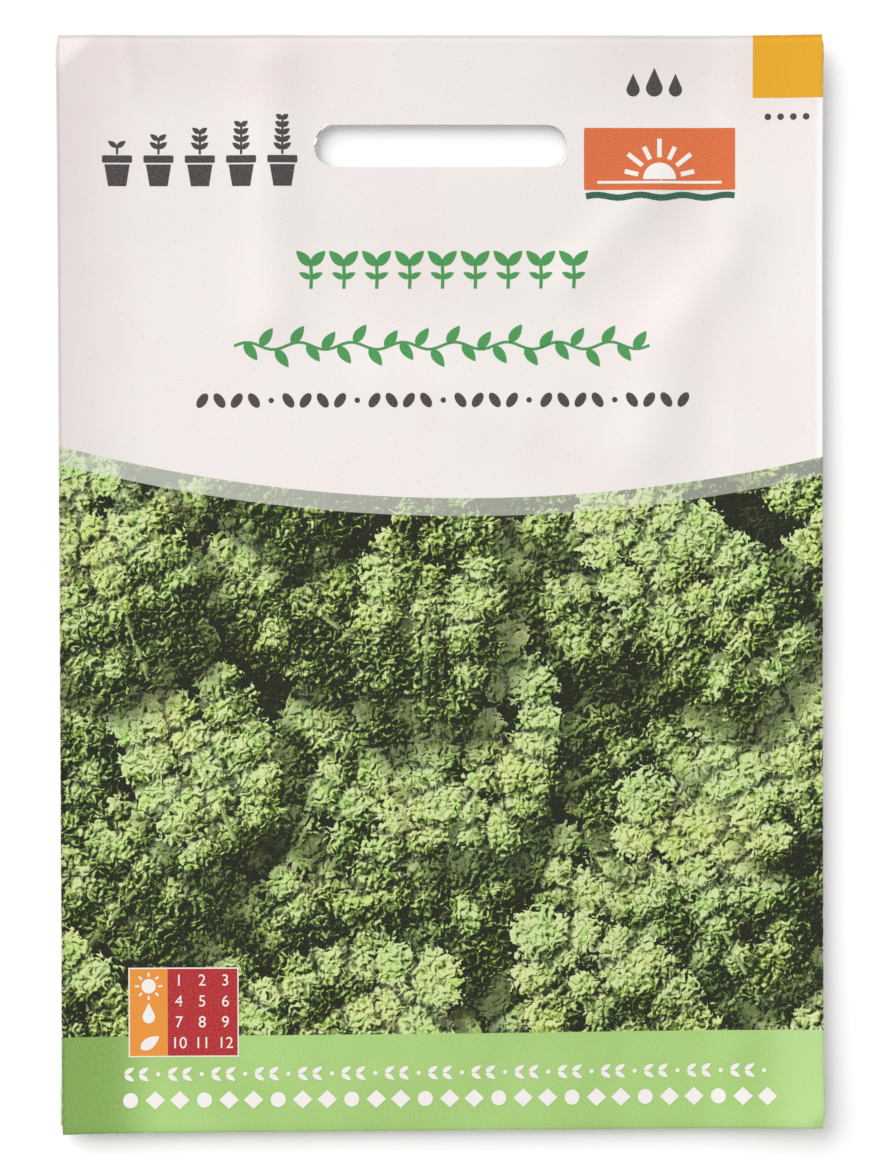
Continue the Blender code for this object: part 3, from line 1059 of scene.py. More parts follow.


# Painted shade: a thin grey line along the folds at the left and the top.
def crushed_folds(g, x, y, tint):
    from_left = g.math("ADD", x, HALF_WIDTH / MM)
    from_top = g.math("SUBTRACT", HALF_HEIGHT / MM, y)
    fold_shade = g.between(g.math("MINIMUM", from_left, from_top), FOLD_SHADE_WIDTH, 0.05)
    return g.mix(fold_shade, tint, g.mix(1.0, tint, FOLD_SHADE_TINT, "MULTIPLY"))


print("the paper has", len(PAINTED_SHADE_SPOTS), "toned spots")

# %% [markdown]
# ## The flat inks
# Over the paper lie a green band along the bottom, a plain amber tab in the top right corner,
# and the picture between the band and a shallow arc, with a paler strip along the arc. Each is
# a place on the sheet, so each is a mask made from the coordinates. On uncoated paper ink sinks
# in unevenly: the fibres show through it as a fine pale mottling.

# %% Lay the flat inks
BAND_GREEN = colour(159, 200, 107)
BAND_PALE = colour(167, 208, 117)
BAND_LEFT_TONE_AND_SHADE = colour(124, 166, 70)
BAND_RIGHT_TONE_AND_LIGHT = colour(178, 214, 134)
BAND_SLOPE = 0.0035
AMBER = colour(228, 166, 22)
TAB_LEFT, TAB_BOTTOM = 47.0, 73.1
ARC_LOW, ARC_RISE, ARC_MIDDLE = 13.0, 7.0, 4.0
STRIP_WIDTH = 2.7
VEIL = colour(226, 229, 215)
INK_EDGE = 0.06


def step_up(g, value, at):
    return g.between(value, at - INK_EDGE, at + INK_EDGE)


def unevenly_inked(g, place):
    """How much of the paper shows through an ink."""
    fibres = g.noise(place, 3.2, 3.0, 0.75)
    pits = g.between(fibres, 0.60, 0.82, 0.0, 0.22)
    return g.math("ADD", pits, g.between(fibres, 0.30, 0.62, 0.0, 0.10))


def with_picture(g, place, x, y, bare, sunk):
    drawn = g.mix(g.math("MULTIPLY", sunk, 0.2), picture_colour(g, place), bare)
    from_middle = g.math("DIVIDE", g.math("SUBTRACT", x, ARC_MIDDLE), HALF_WIDTH / MM)
    arc = g.plus(ARC_LOW, g.math("MULTIPLY", from_middle, from_middle), ARC_RISE)
    below_arc = g.math("SUBTRACT", arc, y)
    veil = g.mix(g.between(x, -45.0, 40.0, 0.56, 0.38), drawn, VEIL)
    drawn = g.mix(step_up(g, below_arc, STRIP_WIDTH), veil, drawn)
    tint = g.mix(step_up(g, below_arc, 0.0), bare, drawn)
    tab = g.math("MULTIPLY", step_up(g, x, TAB_LEFT), step_up(g, y, TAB_BOTTOM))
    return g.mix(tab, tint, g.mix(g.math("MULTIPLY", sunk, 0.4), AMBER, bare))


def with_band(g, place, x, y, tint, bare, sunk):
    band_top = g.plus(PICTURE_BOTTOM, x, BAND_SLOPE)
    inside_band = step_up(g, g.math("SUBTRACT", band_top, y), 0.0)
    patches = g.between(g.noise(place, 0.06, 2.0), 0.3, 0.7)
    band_ink = g.mix(patches, BAND_GREEN, BAND_PALE)
    # The band is darker towards its left end and paler towards its right end: partly the print's own tone,
    # partly painted shade at the left and painted light at the right.
    band_ink = g.mix(g.between(x, -42.0, -51.5), band_ink, BAND_LEFT_TONE_AND_SHADE)
    band_ink = g.mix(g.between(x, 46.0, 54.0), band_ink, BAND_RIGHT_TONE_AND_LIGHT)
    return g.mix(inside_band, tint, g.mix(sunk, band_ink, bare))


print("the band is", round(HALF_HEIGHT / MM + PICTURE_BOTTOM, 1), "mm high")

# %% [markdown]
# ## Printing the sheet
# One sheet is printed in one go, but its parts need three materials: the front with the picture
# and the band, the flaps with only the band, and bare paper. Each is put together from the
# finishes above. A panel's first material is on its upper side, its second on its lower side.

# %% Print the sheet
def printed_sheet(name, picture=False, band=False):
    material, g, place = new_material(name)
    x, y, _ = g.split(place)
    bare = paper_colour(g, place)
    sunk = unevenly_inked(g, place)
    tint = bare
    if picture:
        bare = handled_paper(g, place, x, y, bare)
        tint = with_picture(g, place, x, y, bare, sunk)
    if band:
        tint = with_band(g, place, x, y, tint, bare, sunk)
    tint = worn_edges(g, place, x, y, tint)
    if picture:
        tint = crushed_folds(g, x, y, tint)
    return finish_paper(material, g, place, tint)


front_print = printed_sheet("printed_front_paper", picture=True, band=True)
flap_print = printed_sheet("banded_flap_paper", band=True)
bare_paper = printed_sheet("bare_paper")
dressing = [
    (front_panel, front_print, bare_paper),
    (back_panel, bare_paper, bare_paper),
    (side_lap, bare_paper, bare_paper),
    (bottom_flap, bare_paper, flap_print),
    (top_flap, bare_paper, bare_paper),
]
for piece, upper, lower in dressing:
    piece.data.materials[0] = upper
    piece.data.materials[1] = lower
    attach(piece, "root")
    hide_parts("paper_envelope")
    print(piece.name, "is", upper.name, "above and", lower.name, "below")

# %% [markdown]
# ## Printed marks
# The sharp marks on a packet are thin films of ink. They could be masks in the shader, but each
# would need its own formula. It is simpler to draw them as outlines in millimetres and to fill
# them with small triangles. The triangles have to be small to bend with the paper, so points
# are added along the outline and inside it. These two helpers say where.

# %% Points for an outline
INK_STEP = 1.3


def inside(x, y, outline):
    """Whether a place is inside an outline."""
    odd = False
    for (ax, ay), (bx, by) in zip(outline, outline[1:] + outline[:1]):
        if (ay > y) != (by > y) and x < ax + (y - ay) * (bx - ax) / (by - ay):
            odd = not odd
    return odd


def closely(outline, step):
    """The outline with points added, so that no side of it is longer than the step."""
    points = []
    for (ax, ay), (bx, by) in zip(outline, outline[1:] + outline[:1]):
        pieces = max(1, math.ceil(math.dist((ax, ay), (bx, by)) / step))
        points += [(ax + (bx - ax) * i / pieces, ay + (by - ay) * i / pieces) for i in range(pieces)]
    return points


print("a film has a point about every", INK_STEP, "mm")

# %% [markdown]
# ## Pressing ink onto the paper
# A film collects marks of one colour. `delaunay_2d_cdt` fills each outline with triangles, and
# numbers come from a text object. `press` then lays all points on the paper. The ink lies a
# fiftieth of a millimetre above it, which no eye can see from the side, and ink over ink lies
# a layer higher.

# %% A film of ink
INK_LIFT = 0.022 * MM
CAPITAL_HEIGHT = 0.72
WELD = 1e-5


class Film:
    """Marks of one colour, collected in millimetres and pressed onto the paper as one piece."""

    def __init__(self):
        self.points = []
        self.faces = []

    def add(self, points, faces):
        first = len(self.points)
        self.points += points
        self.faces += [[first + i for i in face] for face in faces]

    def fill(self, outline):
        rim = closely(outline, INK_STEP)
        xs, ys = zip(*rim)
        within = []
        for x in np.arange(min(xs) + INK_STEP / 2, max(xs), INK_STEP):
            for y in np.arange(min(ys) + INK_STEP / 2, max(ys), INK_STEP):
                room = min(math.dist((x, y), point) for point in rim)
                if room > INK_STEP / 2 and inside(x, y, rim):
                    within.append((x, y))
        sides = [(i, (i + 1) % len(rim)) for i in range(len(rim))]
        filled = delaunay_2d_cdt([Vector(p) for p in rim + within], sides, [], 1, WELD)
        self.add([tuple(p) for p in filled[0]], filled[2])

    def number(self, value, x, y, height):
        text = bpy.data.curves.new("number", "FONT")
        text.body = str(value)
        text.size = height / CAPITAL_HEIGHT
        text.align_x = "CENTER"
        text.align_y = "CENTER"
        written = bpy.data.objects.new("number", text)
        bpy.context.scene.collection.objects.link(written)
        bpy.context.view_layer.update()
        mesh = bpy.data.meshes.new_from_object(written)
        points = [(v.co.x + x, v.co.y + y) for v in mesh.vertices]
        self.add(points, [list(p.vertices) for p in mesh.polygons])
        bpy.data.objects.remove(written)
        bpy.data.meshes.remove(mesh)

    def press(self, name, ink, layers=1, behind=False):
        """Makes the piece. Behind, it is drawn as the reader sees it, so x runs the other way."""
        points = np.array(self.points) * MM
        x, y = points[:, 0], points[:, 1]
        if behind:
            x = -x
            z = printed_back(x, y) - INK_LIFT * layers
        else:
            z = printed_front(x, y) + INK_LIFT * layers
        mesh = bpy.data.meshes.new(name)
        mesh.from_pydata(np.stack([x, y, z], axis=1).tolist(), [], self.faces)
        mesh.validate()
        mesh.shade_smooth()
        mesh.materials.append(ink)
        piece = bpy.data.objects.new(name, mesh)
        bpy.context.scene.collection.objects.link(piece)
        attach(piece, "root")
        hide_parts("paper_envelope")
        print(name, "has", len(mesh.polygons), "triangles")


print("the ink lies", INK_LIFT / MM, "mm above the paper")

# %% [markdown]
# ## The inks
# Each ink has its own material. The paper shows through it here and there, where the ink has
# sunk in unevenly, but only half as much as through the large flat areas, because small marks
# are printed with more ink. Marks that a press leaves unprinted are films of the paper's colour.

# %% Mix the inks
SUNK_SHARE = 0.5


def ink_of(name, tint):
    material, g, place = new_material(name)
    sunk = g.math("MULTIPLY", unevenly_inked(g, place), SUNK_SHARE)
    return finish_paper(material, g, place, g.mix(sunk, tint, paper_colour(g, place)))


GREEN_INK = ink_of("green_ink", colour(66, 150, 78))
GREY_INK = ink_of("grey_ink", colour(68, 62, 62))
ORANGE_INK = ink_of("orange_ink", colour(219, 108, 54))
RED_INK = ink_of("red_ink", colour(178, 28, 36))
AMBER_INK = ink_of("amber_ink", colour(232, 146, 46))
DARK_GREEN_INK = ink_of("dark_green_ink", colour(34, 94, 74))
UNPRINTED = ink_of("unprinted_paper", colour(241, 237, 232))
print("green ink reflects", [round(c, 3) for c in linear(66, 150, 78)], "of the light")

# %% [markdown]
# ## Shapes to draw with
# Everything on the packet is made of a few outlines. Each is a list of points that runs once
# round the shape. These three are for growing things: a pointed leaf, a disc, which can be
# squashed into a seed, and a drop. `turned` turns a shape and puts it in its place.

# %% Leaf, disc and drop
def turned(points, x, y, angle):
    c, s = math.cos(angle), math.sin(angle)
    return [(x + px * c - py * s, y + px * s + py * c) for px, py in points]


def leaf_outline(x, y, length, width, angle, belly=0.42):
    """A pointed leaf that grows from (x, y) along the angle."""
    steps = 9
    sides = []
    for i in range(steps + 1):
        t = i / steps
        bent = t ** (math.log(0.5) / math.log(belly))
        sides.append((t * length, width / 2 * math.sin(math.pi * bent) ** 0.8))
    lower = [(px, -py) for px, py in sides[1:-1]]
    return turned(sides + lower[::-1], x, y, angle)[::-1]


def disc_outline(x, y, radius, steps=20, squash=1.0, angle=0.0):
    turn = [2 * math.pi * i / steps for i in range(steps)]
    return turned([(radius * math.cos(a), squash * radius * math.sin(a)) for a in turn], x, y, angle)


def drop_outline(x, y, width, height):
    radius = width / 2
    round_part = [math.pi * (0.88 + 1.24 * i / 16) for i in range(17)]
    rim = [(x + radius * math.cos(a), y + radius + radius * math.sin(a)) for a in round_part]
    return rim + [(x, y + height)]


print("a leaf outline has", len(leaf_outline(0, 0, 3, 1.5, 0)), "points")

# %% [markdown]
# ## Straight shapes to draw with
# The other two outlines are a bar, whose corners can be round, and a stroke of even width along
# a path. The stroke steps aside to the left and to the right of every point of the path.

# %% Bar and stroke
def bar_outline(left, bottom, right, top, radius=0.0):
    """A bar with round corners."""
    if not radius:
        return [(left, bottom), (right, bottom), (right, top), (left, top)]
    points = []
    for cx, cy, start in (
        (right - radius, bottom + radius, -0.5),
        (right - radius, top - radius, 0.0),
        (left + radius, top - radius, 0.5),
        (left + radius, bottom + radius, 1.0),
    ):
        for i in range(6):
            a = math.pi * (start + i / 10)
            points.append((cx + radius * math.cos(a), cy + radius * math.sin(a)))
    return points


def stroke_outline(path, width):
    """A stroke of even width along a path."""
    left, right = [], []
    for i, (x, y) in enumerate(path):
        ax, ay = path[max(0, i - 1)]
        bx, by = path[min(len(path) - 1, i + 1)]
        length = math.dist((ax, ay), (bx, by))
        nx, ny = -(by - ay) / length * width / 2, (bx - ax) / length * width / 2
        left.append((x + nx, y + ny))
        right.append((x - nx, y - ny))
    return right + left[::-1]


print("a bar with round corners has", len(bar_outline(0, 0, 4, 2, 0.5)), "points")

# %% [markdown]
# ## Two green garlands
# Two garlands of our own are printed in green below the slot: a row of seedlings, and a longer
# one of leaves on a waving stem. A seedling is a stroke with four leaf outlines, so one small
# function draws it at any size, here and on the back.

# %% Draw the garlands
def seedling(film, x, y, height, stroke=0.5):
    """A stem with two pairs of leaves, the upper pair larger."""
    film.fill(stroke_outline([(x, y), (x + 0.08, y + height * 0.3), (x, y + height * 0.62)], stroke))
    for side in (-1, 1):
        spread = math.pi / 2 - side * 0.78
        film.fill(leaf_outline(x, y + height * 0.58, height * 0.52, height * 0.25, spread))
        spread = math.pi / 2 - side * 1.12
        film.fill(leaf_outline(x, y + height * 0.26, height * 0.33, height * 0.15, spread))


green = Film()
for i in range(9):
    seedling(green, -19.6 + 4.95 * i, 44.6, 6.0)
wave = [(-31.2 + 62.6 * i / 80, 36.0 + 0.55 * math.sin(i * math.pi / 5)) for i in range(81)]
green.fill(stroke_outline(wave, 0.42))
for i in range(2, 79, 3):
    x, y = wave[i]
    side = 1 if i % 2 else -1
    green.fill(leaf_outline(x, y, 3.3, 1.55, side * 0.95))
green.press("green_garlands", GREEN_INK)

# %% [markdown]
# ## Dark grey marks
# Under the garlands runs a row of seeds. At the top left five flower pots show a plant growing
# taller, at the top right three drops ask for water, and four dots stand under the amber tab.

# %% Draw the dark grey marks
grey = Film()
SEED_ROW = 27.8
for i in range(29):
    x = -36.0 + 2.59 * i
    if i % 5 == 4:
        grey.fill(disc_outline(x, SEED_ROW, 0.42, 12))
    else:
        tilt = 0.6 if i % 2 else -0.6
        grey.fill(disc_outline(x, SEED_ROW, 1.25, 18, 0.56, math.pi / 2 + tilt))


def flower_pot(film, x, y, width, height):
    lip = height * 0.24
    shoulder = y + height - lip - 0.25
    foot = [(x - width * 0.30, y), (x + width * 0.30, y)]
    film.fill(foot + [(x + width * 0.42, shoulder), (x - width * 0.42, shoulder)])
    film.fill(bar_outline(x - width / 2, y + height - lip, x + width / 2, y + height, 0.2))


POT_BOTTOM, SOIL_LEVEL = 60.0, 64.75
for i in range(5):
    x = -48.6 + 6.2 * i
    flower_pot(grey, x, POT_BOTTOM, 4.5, 4.6)
    tall = 1.4 + 1.05 * i
    grey.fill(stroke_outline([(x, SOIL_LEVEL), (x + 0.05, SOIL_LEVEL + tall)], 0.34))
    for k in range(1, i + 2):
        up = SOIL_LEVEL + tall * k / (i + 1)
        for side in (-1, 1):
            grey.fill(leaf_outline(x, up - 0.35, 1.75 - 0.12 * k, 0.8, math.pi / 2 - side * 0.95))
for i, size in enumerate((0.8, 1.0, 0.8)):
    grey.fill(drop_outline(29.0 + 3.2 * i, 73.4, 2.5 * size, 4.3 * size))
for i in range(4):
    grey.fill(disc_outline(49.3 + 1.9 * i, 70.3, 0.5, 14))
grey.press("dark_grey_marks", GREY_INK)

# %% [markdown]
# ## An orange tile
# Beside the slot a bright orange tile carries a rising sun, left unprinted, and rests on a
# dark green line of soil.

# %% Draw the tile
TILE = (21.6, 59.4, 44.4, 68.7)
orange = Film()
orange.fill(bar_outline(*TILE, 0.25))
orange.press("orange_tile", ORANGE_INK)
soil = Film()
ground = [(21.9 + 22.4 * i / 24, 58.45 + 0.22 * math.sin(i * 0.9)) for i in range(25)]
soil.fill(stroke_outline(ground, 0.95))
soil.press("dark_green_ground", DARK_GREEN_INK)
white = Film()
SUN_X, SUN_Y = 33.0, 61.0
half_sun = [math.pi * i / 18 for i in range(19)]
white.fill([(SUN_X + 2.5 * math.cos(a), SUN_Y + 2.5 * math.sin(a)) for a in half_sun])
for i in range(7):
    a = math.pi * (i + 0.5) / 7
    start, end = 3.3, 5.4 + 0.7 * (i % 2)
    ray = [(SUN_X + r * math.cos(a), SUN_Y + r * math.sin(a)) for r in (start, end)]
    white.fill(stroke_outline(ray, 0.7))
white.fill(bar_outline(23.6, 60.35, 42.4, 60.75))

# %% [markdown]
# ## A red calendar
# At the lower left a red panel with an unprinted border overlaps the picture and the band. It
# numbers the twelve months. Its amber side holds a sun, a drop and a leaf.

# %% Draw the calendar
border = Film()
border.fill(bar_outline(-47.5, -71.1, -30.9, -57.6))
border.press("calendar_border", UNPRINTED)
red = Film()
red.fill(bar_outline(-41.6, -70.9, -31.1, -57.8))
red.press("red_panel", RED_INK, layers=2)
amber = Film()
amber.fill(bar_outline(-47.3, -70.9, -41.6, -57.8))
amber.press("amber_panel", AMBER_INK, layers=2)
upper_white = Film()
for month in range(12):
    row, column = divmod(month, 3)
    upper_white.number(month + 1, -39.9 + 3.5 * column, -59.6 - 3.15 * row, 1.75)
SIGNS_X, SMALL_SUN_Y = -44.45, -60.4
upper_white.fill(disc_outline(SIGNS_X, SMALL_SUN_Y, 1.1))
for i in range(8):
    a = math.pi * i / 4
    ray = [(SIGNS_X + r * math.cos(a), SMALL_SUN_Y + r * math.sin(a)) for r in (1.45, 2.05)]
    upper_white.fill(stroke_outline(ray, 0.32))
upper_white.fill(drop_outline(SIGNS_X, -66.0, 1.9, 3.1))
upper_white.fill(leaf_outline(-45.7, -69.9, 3.4, 1.7, 0.6))
upper_white.press("calendar_numbers", UNPRINTED, layers=3)

# %% [markdown]
# ## The band's border
# The green band carries two unprinted rows: a fine one of leaf pairs and dots, and a bold one
# of lozenges and discs.

# %% Draw the border
FINE_ROW, BOLD_ROW = -73.7, -77.6
for i in range(45):
    x = -47.4 + 2.18 * i
    if i % 3 == 2:
        white.fill(disc_outline(x, FINE_ROW, 0.34, 12))
    else:
        for side in (-1, 1):
            white.fill(leaf_outline(x - 0.75, FINE_ROW + side * 0.1, 1.75, 0.78, side * 0.55))
for i in range(27):
    x = -47.2 + 3.7 * i
    if i % 3:
        white.fill([(x - 1.5, BOLD_ROW), (x, BOLD_ROW - 1.4), (x + 1.5, BOLD_ROW), (x, BOLD_ROW + 1.4)])
    else:
        white.fill(disc_outline(x, BOLD_ROW, 1.15))
white.press("unprinted_marks", UNPRINTED, layers=2)

# %% [markdown]
# ## The torn rim of the slot
# A worn die tears uncoated paper more than it cuts it. It leaves a white burr along the upper
# rim, a beard of fibres at the upper left and a few slivers bent outwards at the ends. Hair
# particles could be the fibres, but a bent tube for each also exists in the exported mesh. A
# tube is a ring of points at every place of its path, with faces from ring to ring.

# %% A tube along a path
TUBE_SIDES = 5
TORN = ink_of("torn_paper", colour(253, 252, 250))


def tube(bm, path, radii):
    """A closed tube along the path, with its own radius at each point."""
    rings = []
    for i, (point, radius) in enumerate(zip(path, radii)):
        ahead = (path[min(i + 1, len(path) - 1)] - path[max(i - 1, 0)]).normalized()
        side = float(radius) * ahead.cross(Vector((0, 0, 1))).normalized()
        up = side.cross(ahead)
        angles = [2 * math.pi * k / TUBE_SIDES for k in range(TUBE_SIDES)]
        rings.append([bm.verts.new(point + math.cos(a) * side + math.sin(a) * up) for a in angles])
    for lower, upper in zip(rings, rings[1:]):
        for k in range(TUBE_SIDES):
            after = (k + 1) % TUBE_SIDES
            bm.faces.new((lower[k], lower[after], upper[after], upper[k]))
    bm.faces.new(rings[0][::-1])
    bm.faces.new(rings[-1])


print("a fibre has", TUBE_SIDES, "sides")

# %% [markdown]
# ## The burr and the fibres
# The burr follows the rim and varies in width at random. A fibre starts at the rim, heads left
# or right, sways a little, and rises to a loose, thinner end. Most fibres are in the beard at
# the upper left.

# %% The burr and the fibres
BURR_FROM, BURR_TO, BURR_STEPS = -1.25, 1.0, 170
FIBRE_STEPS = 6


def on_front(x, y, above=0.0):
    return Vector((x, y, float(printed_front(x, y)) + above))


def upper_rim(x, grow=0.0):
    """The height on the packet of the slot's upper edge at x."""
    past = max(0.0, abs(x) - (SLOT_LENGTH - SLOT_WIDTH) / 2)
    return SLOT_Y + math.sqrt(max(0.0, (SLOT_WIDTH / 2 + grow) ** 2 - past**2))


def add_burr(bm, draw):
    """A burr of uneven width along the upper rim, widest at the left."""
    path, radii = [], []
    straight = SLOT_LENGTH / 2 - SLOT_WIDTH / 2
    for turn in np.linspace(BURR_FROM, BURR_TO, BURR_STEPS):
        on_straight = np.clip(turn * 1.25, -1, 1)
        round_end = np.clip(2.2 * (turn * 1.25 - on_straight), -1.45, 1.2)
        x = straight * on_straight + SLOT_WIDTH / 2 * math.sin(round_end)
        y = upper_rim(x, 0.03 * MM)
        worn = smooth((-6 - x / MM) / 4)
        radii.append((0.020 + 0.022 * draw.uniform() + 0.02 * worn * draw.uniform()) * MM)
        path.append(on_front(x, y, -0.01 * MM))
    tube(bm, path, radii)


def add_fibre(bm, draw, x, y, heading, length, radius):
    point = Vector((x, y, 0))
    sway, lift = draw.uniform(-1.3, 1.3), draw.uniform(0.02, 0.14) * MM
    path, radii = [], []
    for k in range(FIBRE_STEPS + 1):
        t = k / FIBRE_STEPS
        path.append(on_front(point.x, point.y, -0.02 * MM + lift * t))
        radii.append(radius * (1 - 0.6 * t))
        turn = heading + sway * t
        point = point + Vector((math.cos(turn), math.sin(turn), 0)) * (length / FIBRE_STEPS)
    tube(bm, path, radii)


print("the burr has", BURR_STEPS, "places along the rim")

# %% [markdown]
# ## Tearing the rim
# Burr and fibres become one mesh. Its random numbers start from a fixed seed, so that the rim
# is torn in the same way each time. The slivers are four narrow scraps, pressed on like ink.

# %% Tear the rim
RIM_SEED = 7
FIBRES = 54
FIBRE_ROOT = 0.08 * MM
BEARD = (-18.2, -8.5)


def torn_rim():
    draw = np.random.default_rng(RIM_SEED)
    bm = bmesh.new()
    add_burr(bm, draw)
    rim = slot_rim(steps=60, grow=FIBRE_ROOT)
    for i in range(FIBRES):
        if i % 3:
            x = draw.uniform(*BEARD) * MM
            y = upper_rim(x, FIBRE_ROOT)
        else:
            x, y = rim[int(draw.uniform(0, len(rim) - 1))]
        heading = math.pi * draw.integers(0, 2) + draw.uniform(-0.7, 0.7)
        length, radius = draw.uniform(0.3, 0.9) * MM, draw.uniform(0.03, 0.05) * MM
        add_fibre(bm, draw, x, y, heading, length, radius)
    mesh = bpy.data.meshes.new("slot_rim_fibres")
    bm.to_mesh(mesh)
    bm.free()
    mesh.shade_smooth()
    mesh.materials.append(TORN)
    fibres = bpy.data.objects.new("slot_rim_fibres", mesh)
    bpy.context.scene.collection.objects.link(fibres)
    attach(fibres, "root")
    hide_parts("paper_envelope")
    return fibres


print("the torn rim has", len(torn_rim().data.polygons), "faces")
slivers = Film()
slivers.fill(leaf_outline(19.15, 64.5, 2.1, 0.5, -2.28, 0.6))
slivers.fill(leaf_outline(-16.3, 62.8, 0.9, 0.3, 0.15))
slivers.fill(leaf_outline(-18.6, 67.3, 1.6, 0.42, -1.95))
slivers.fill(leaf_outline(-18.0, 68.35, 1.9, 0.3, 0.75))
slivers.press("slot_rim_slivers", TORN, layers=2)

# %% [markdown]
# ## The back: a growing calendar
# The back says in pictures what a gardener needs. A calendar shows with bars when to sow, plant
# out and harvest. It has numbers and no words. It is drawn as its reader sees it, and pressed
# onto the underside later, when `press` turns it over.

# %% Draw the calendar on the back
MONTH_PITCH = 7.3
FIRST_MONTH = -36.0
SOW, PLANT, HARVEST = 33.2, 27.2, 21.2
ROW_LINES = (36.2, 30.2, 24.2, 18.2)
back_grey, back_green, back_amber, back_dark = Film(), Film(), Film(), Film()
for month in range(12):
    back_grey.number(month + 1, FIRST_MONTH + MONTH_PITCH * month, 38.6, 2.5)
for y in ROW_LINES:
    back_grey.fill(bar_outline(-47.0, y - 0.1, 48.5, y + 0.1))
for film, y, months in (
    (back_green, SOW, ((2, 5),)),
    (back_amber, PLANT, ((4, 6),)),
    (back_dark, HARVEST, ((0, 1), (8, 11))),
):
    for first, last in months:
        left = FIRST_MONTH + MONTH_PITCH * (first - 0.45)
        right = FIRST_MONTH + MONTH_PITCH * (last + 0.45)
        film.fill(bar_outline(left, y - 1.6, right, y + 1.6, 0.8))
back_green.fill(disc_outline(-43.8, SOW, 1.5, 18, 0.65, 0.9))
seedling(back_amber, -43.8, PLANT - 2.0, 4.2, 0.4)
back_dark.fill(leaf_outline(-45.3, HARVEST - 1.9, 4.8, 2.3, 0.85))
for i in range(9):
    back_green.fill(leaf_outline(-21.5 + 4.9 * i, 46.0, 4.0, 1.7, 0.35 if i % 2 else -0.35))
print("the calendar's months are", MONTH_PITCH, "mm apart")

# %% [markdown]
# ## The back: depth, distance and sun
# Three framed pictures say how deep a seed goes, how far apart the plants stand, and that they
# like the sun. The numbers are centimetres. Under them are four lines to write on.

# %% Draw the three pictures
FRAME_SIZE, FRAME_BOTTOM = 24.0, -16.0
FRAME_LEFTS = (-41.5, -12.0, 17.5)
BIG_SUN_X, BIG_SUN_Y = 29.5, -4.0


def frame_outline(film, left, bottom, right, top, width):
    """A square frame made of four bars."""
    film.fill(bar_outline(left, bottom, right, bottom + width))
    film.fill(bar_outline(left, top - width, right, top))
    film.fill(bar_outline(left, bottom + width, left + width, top - width))
    film.fill(bar_outline(right - width, bottom + width, right, top - width))


def arrow(film, x, y, angle, length, width=0.45):
    tip = [(0, 0), (-1.5, -0.9), (-1.5, 0.9)]
    film.fill(turned(tip, x, y, angle))
    start = (x - length * math.cos(angle), y - length * math.sin(angle))
    neck = (x - 1.5 * math.cos(angle), y - 1.5 * math.sin(angle))
    film.fill(stroke_outline([start, neck], width))


for left in FRAME_LEFTS:
    frame_outline(back_grey, left, FRAME_BOTTOM, left + FRAME_SIZE, FRAME_BOTTOM + FRAME_SIZE, 0.35)
back_grey.fill(bar_outline(-39.0, -1.2, -20.0, -0.8))
back_dark.fill(disc_outline(-29.5, -8.0, 1.3, 18, 0.8, 0.4))
arrow(back_grey, -34.5, -8.0, -math.pi / 2, 6.6)
back_grey.number(1, -24.0, -8.0, 3.4)
for x in (-5.5, 5.5):
    seedling(back_green, x, -7.0, 7.5)
back_grey.fill(bar_outline(-9.5, -7.6, 9.5, -7.2))
arrow(back_grey, 5.2, -9.8, 0.0, 5.0)
arrow(back_grey, -5.2, -9.8, math.pi, 5.0)
back_grey.number(45, 0.0, 3.6, 3.0)
back_amber.fill(disc_outline(BIG_SUN_X, BIG_SUN_Y, 3.6, 28))
for i in range(10):
    a = math.pi * i / 5
    ray = [(BIG_SUN_X + r * math.cos(a), BIG_SUN_Y + r * math.sin(a)) for r in (4.8, 7.6)]
    back_amber.fill(stroke_outline(ray, 0.8))
for i in range(4):
    back_grey.fill(bar_outline(-41.5, -27.1 - 8.0 * i, 41.5, -26.9 - 8.0 * i))
back_grey.press("back_grey_marks", GREY_INK, behind=True)
back_green.press("back_green_marks", GREEN_INK, behind=True)
back_amber.press("back_amber_marks", AMBER_INK, behind=True)
back_dark.press("back_dark_green_marks", DARK_GREEN_INK, behind=True)

# %% [markdown]
# ## Glue and seed coats
# Dried paper glue is yellowish and satin, with streaks from the wheel that laid it. Kale seeds
# are dull dark brown, with a fine net on their coats, which cells make.

# %% Mix the glue and the seed coat
def glue_material():
    material, g, place = new_material("dried_glue")
    streak = g.noise(place, 0.9, 3.0, 0.6)
    tint = g.mix(g.between(streak, 0.35, 0.65), colour(226, 220, 200), colour(206, 196, 166))
    return finish_paper(material, g, place, tint, roughness=0.42, relief=0.02 * MM)


def seed_material():
    material, g, place = new_material("seed_coat")
    net = g.cells(place, 5.0, 0.1)
    tint = g.mix(g.between(net, 0.1, 0.6), colour(58, 40, 34), colour(92, 66, 54))
    return finish_paper(material, g, place, tint, roughness=0.6, relief=0.03 * MM)


glue, seed_coat = glue_material(), seed_material()
print("made", glue.name, "and", seed_coat.name)

# %% [markdown]
# ## Laying the glue
# Four lines of glue hold the packet shut: one at the side seam, one under each flap and one
# below the slot, which keeps the seeds in. They are thin pads in the gaps between the layers.
# The solid model's own pads don't follow the handling marks and would come out through the
# paper, so new ones are laid at the layers' heights, with slightly wavy edges. The seeds are
# the solid model's own, and only get their coat.

# %% Lay the glue and dress the seeds
GLUE = 0.1 * MM
GLUE_MARGIN = 2 * MM
GLUE_END = HALF_WIDTH - 7 * MM
SEAM_MARGIN = 3 * MM
SEAL_HEIGHT = 5 * MM


def wavy(along):
    return 0.4 * MM * np.sin(along / (5 * MM)) * np.sin(along / (17 * MM))


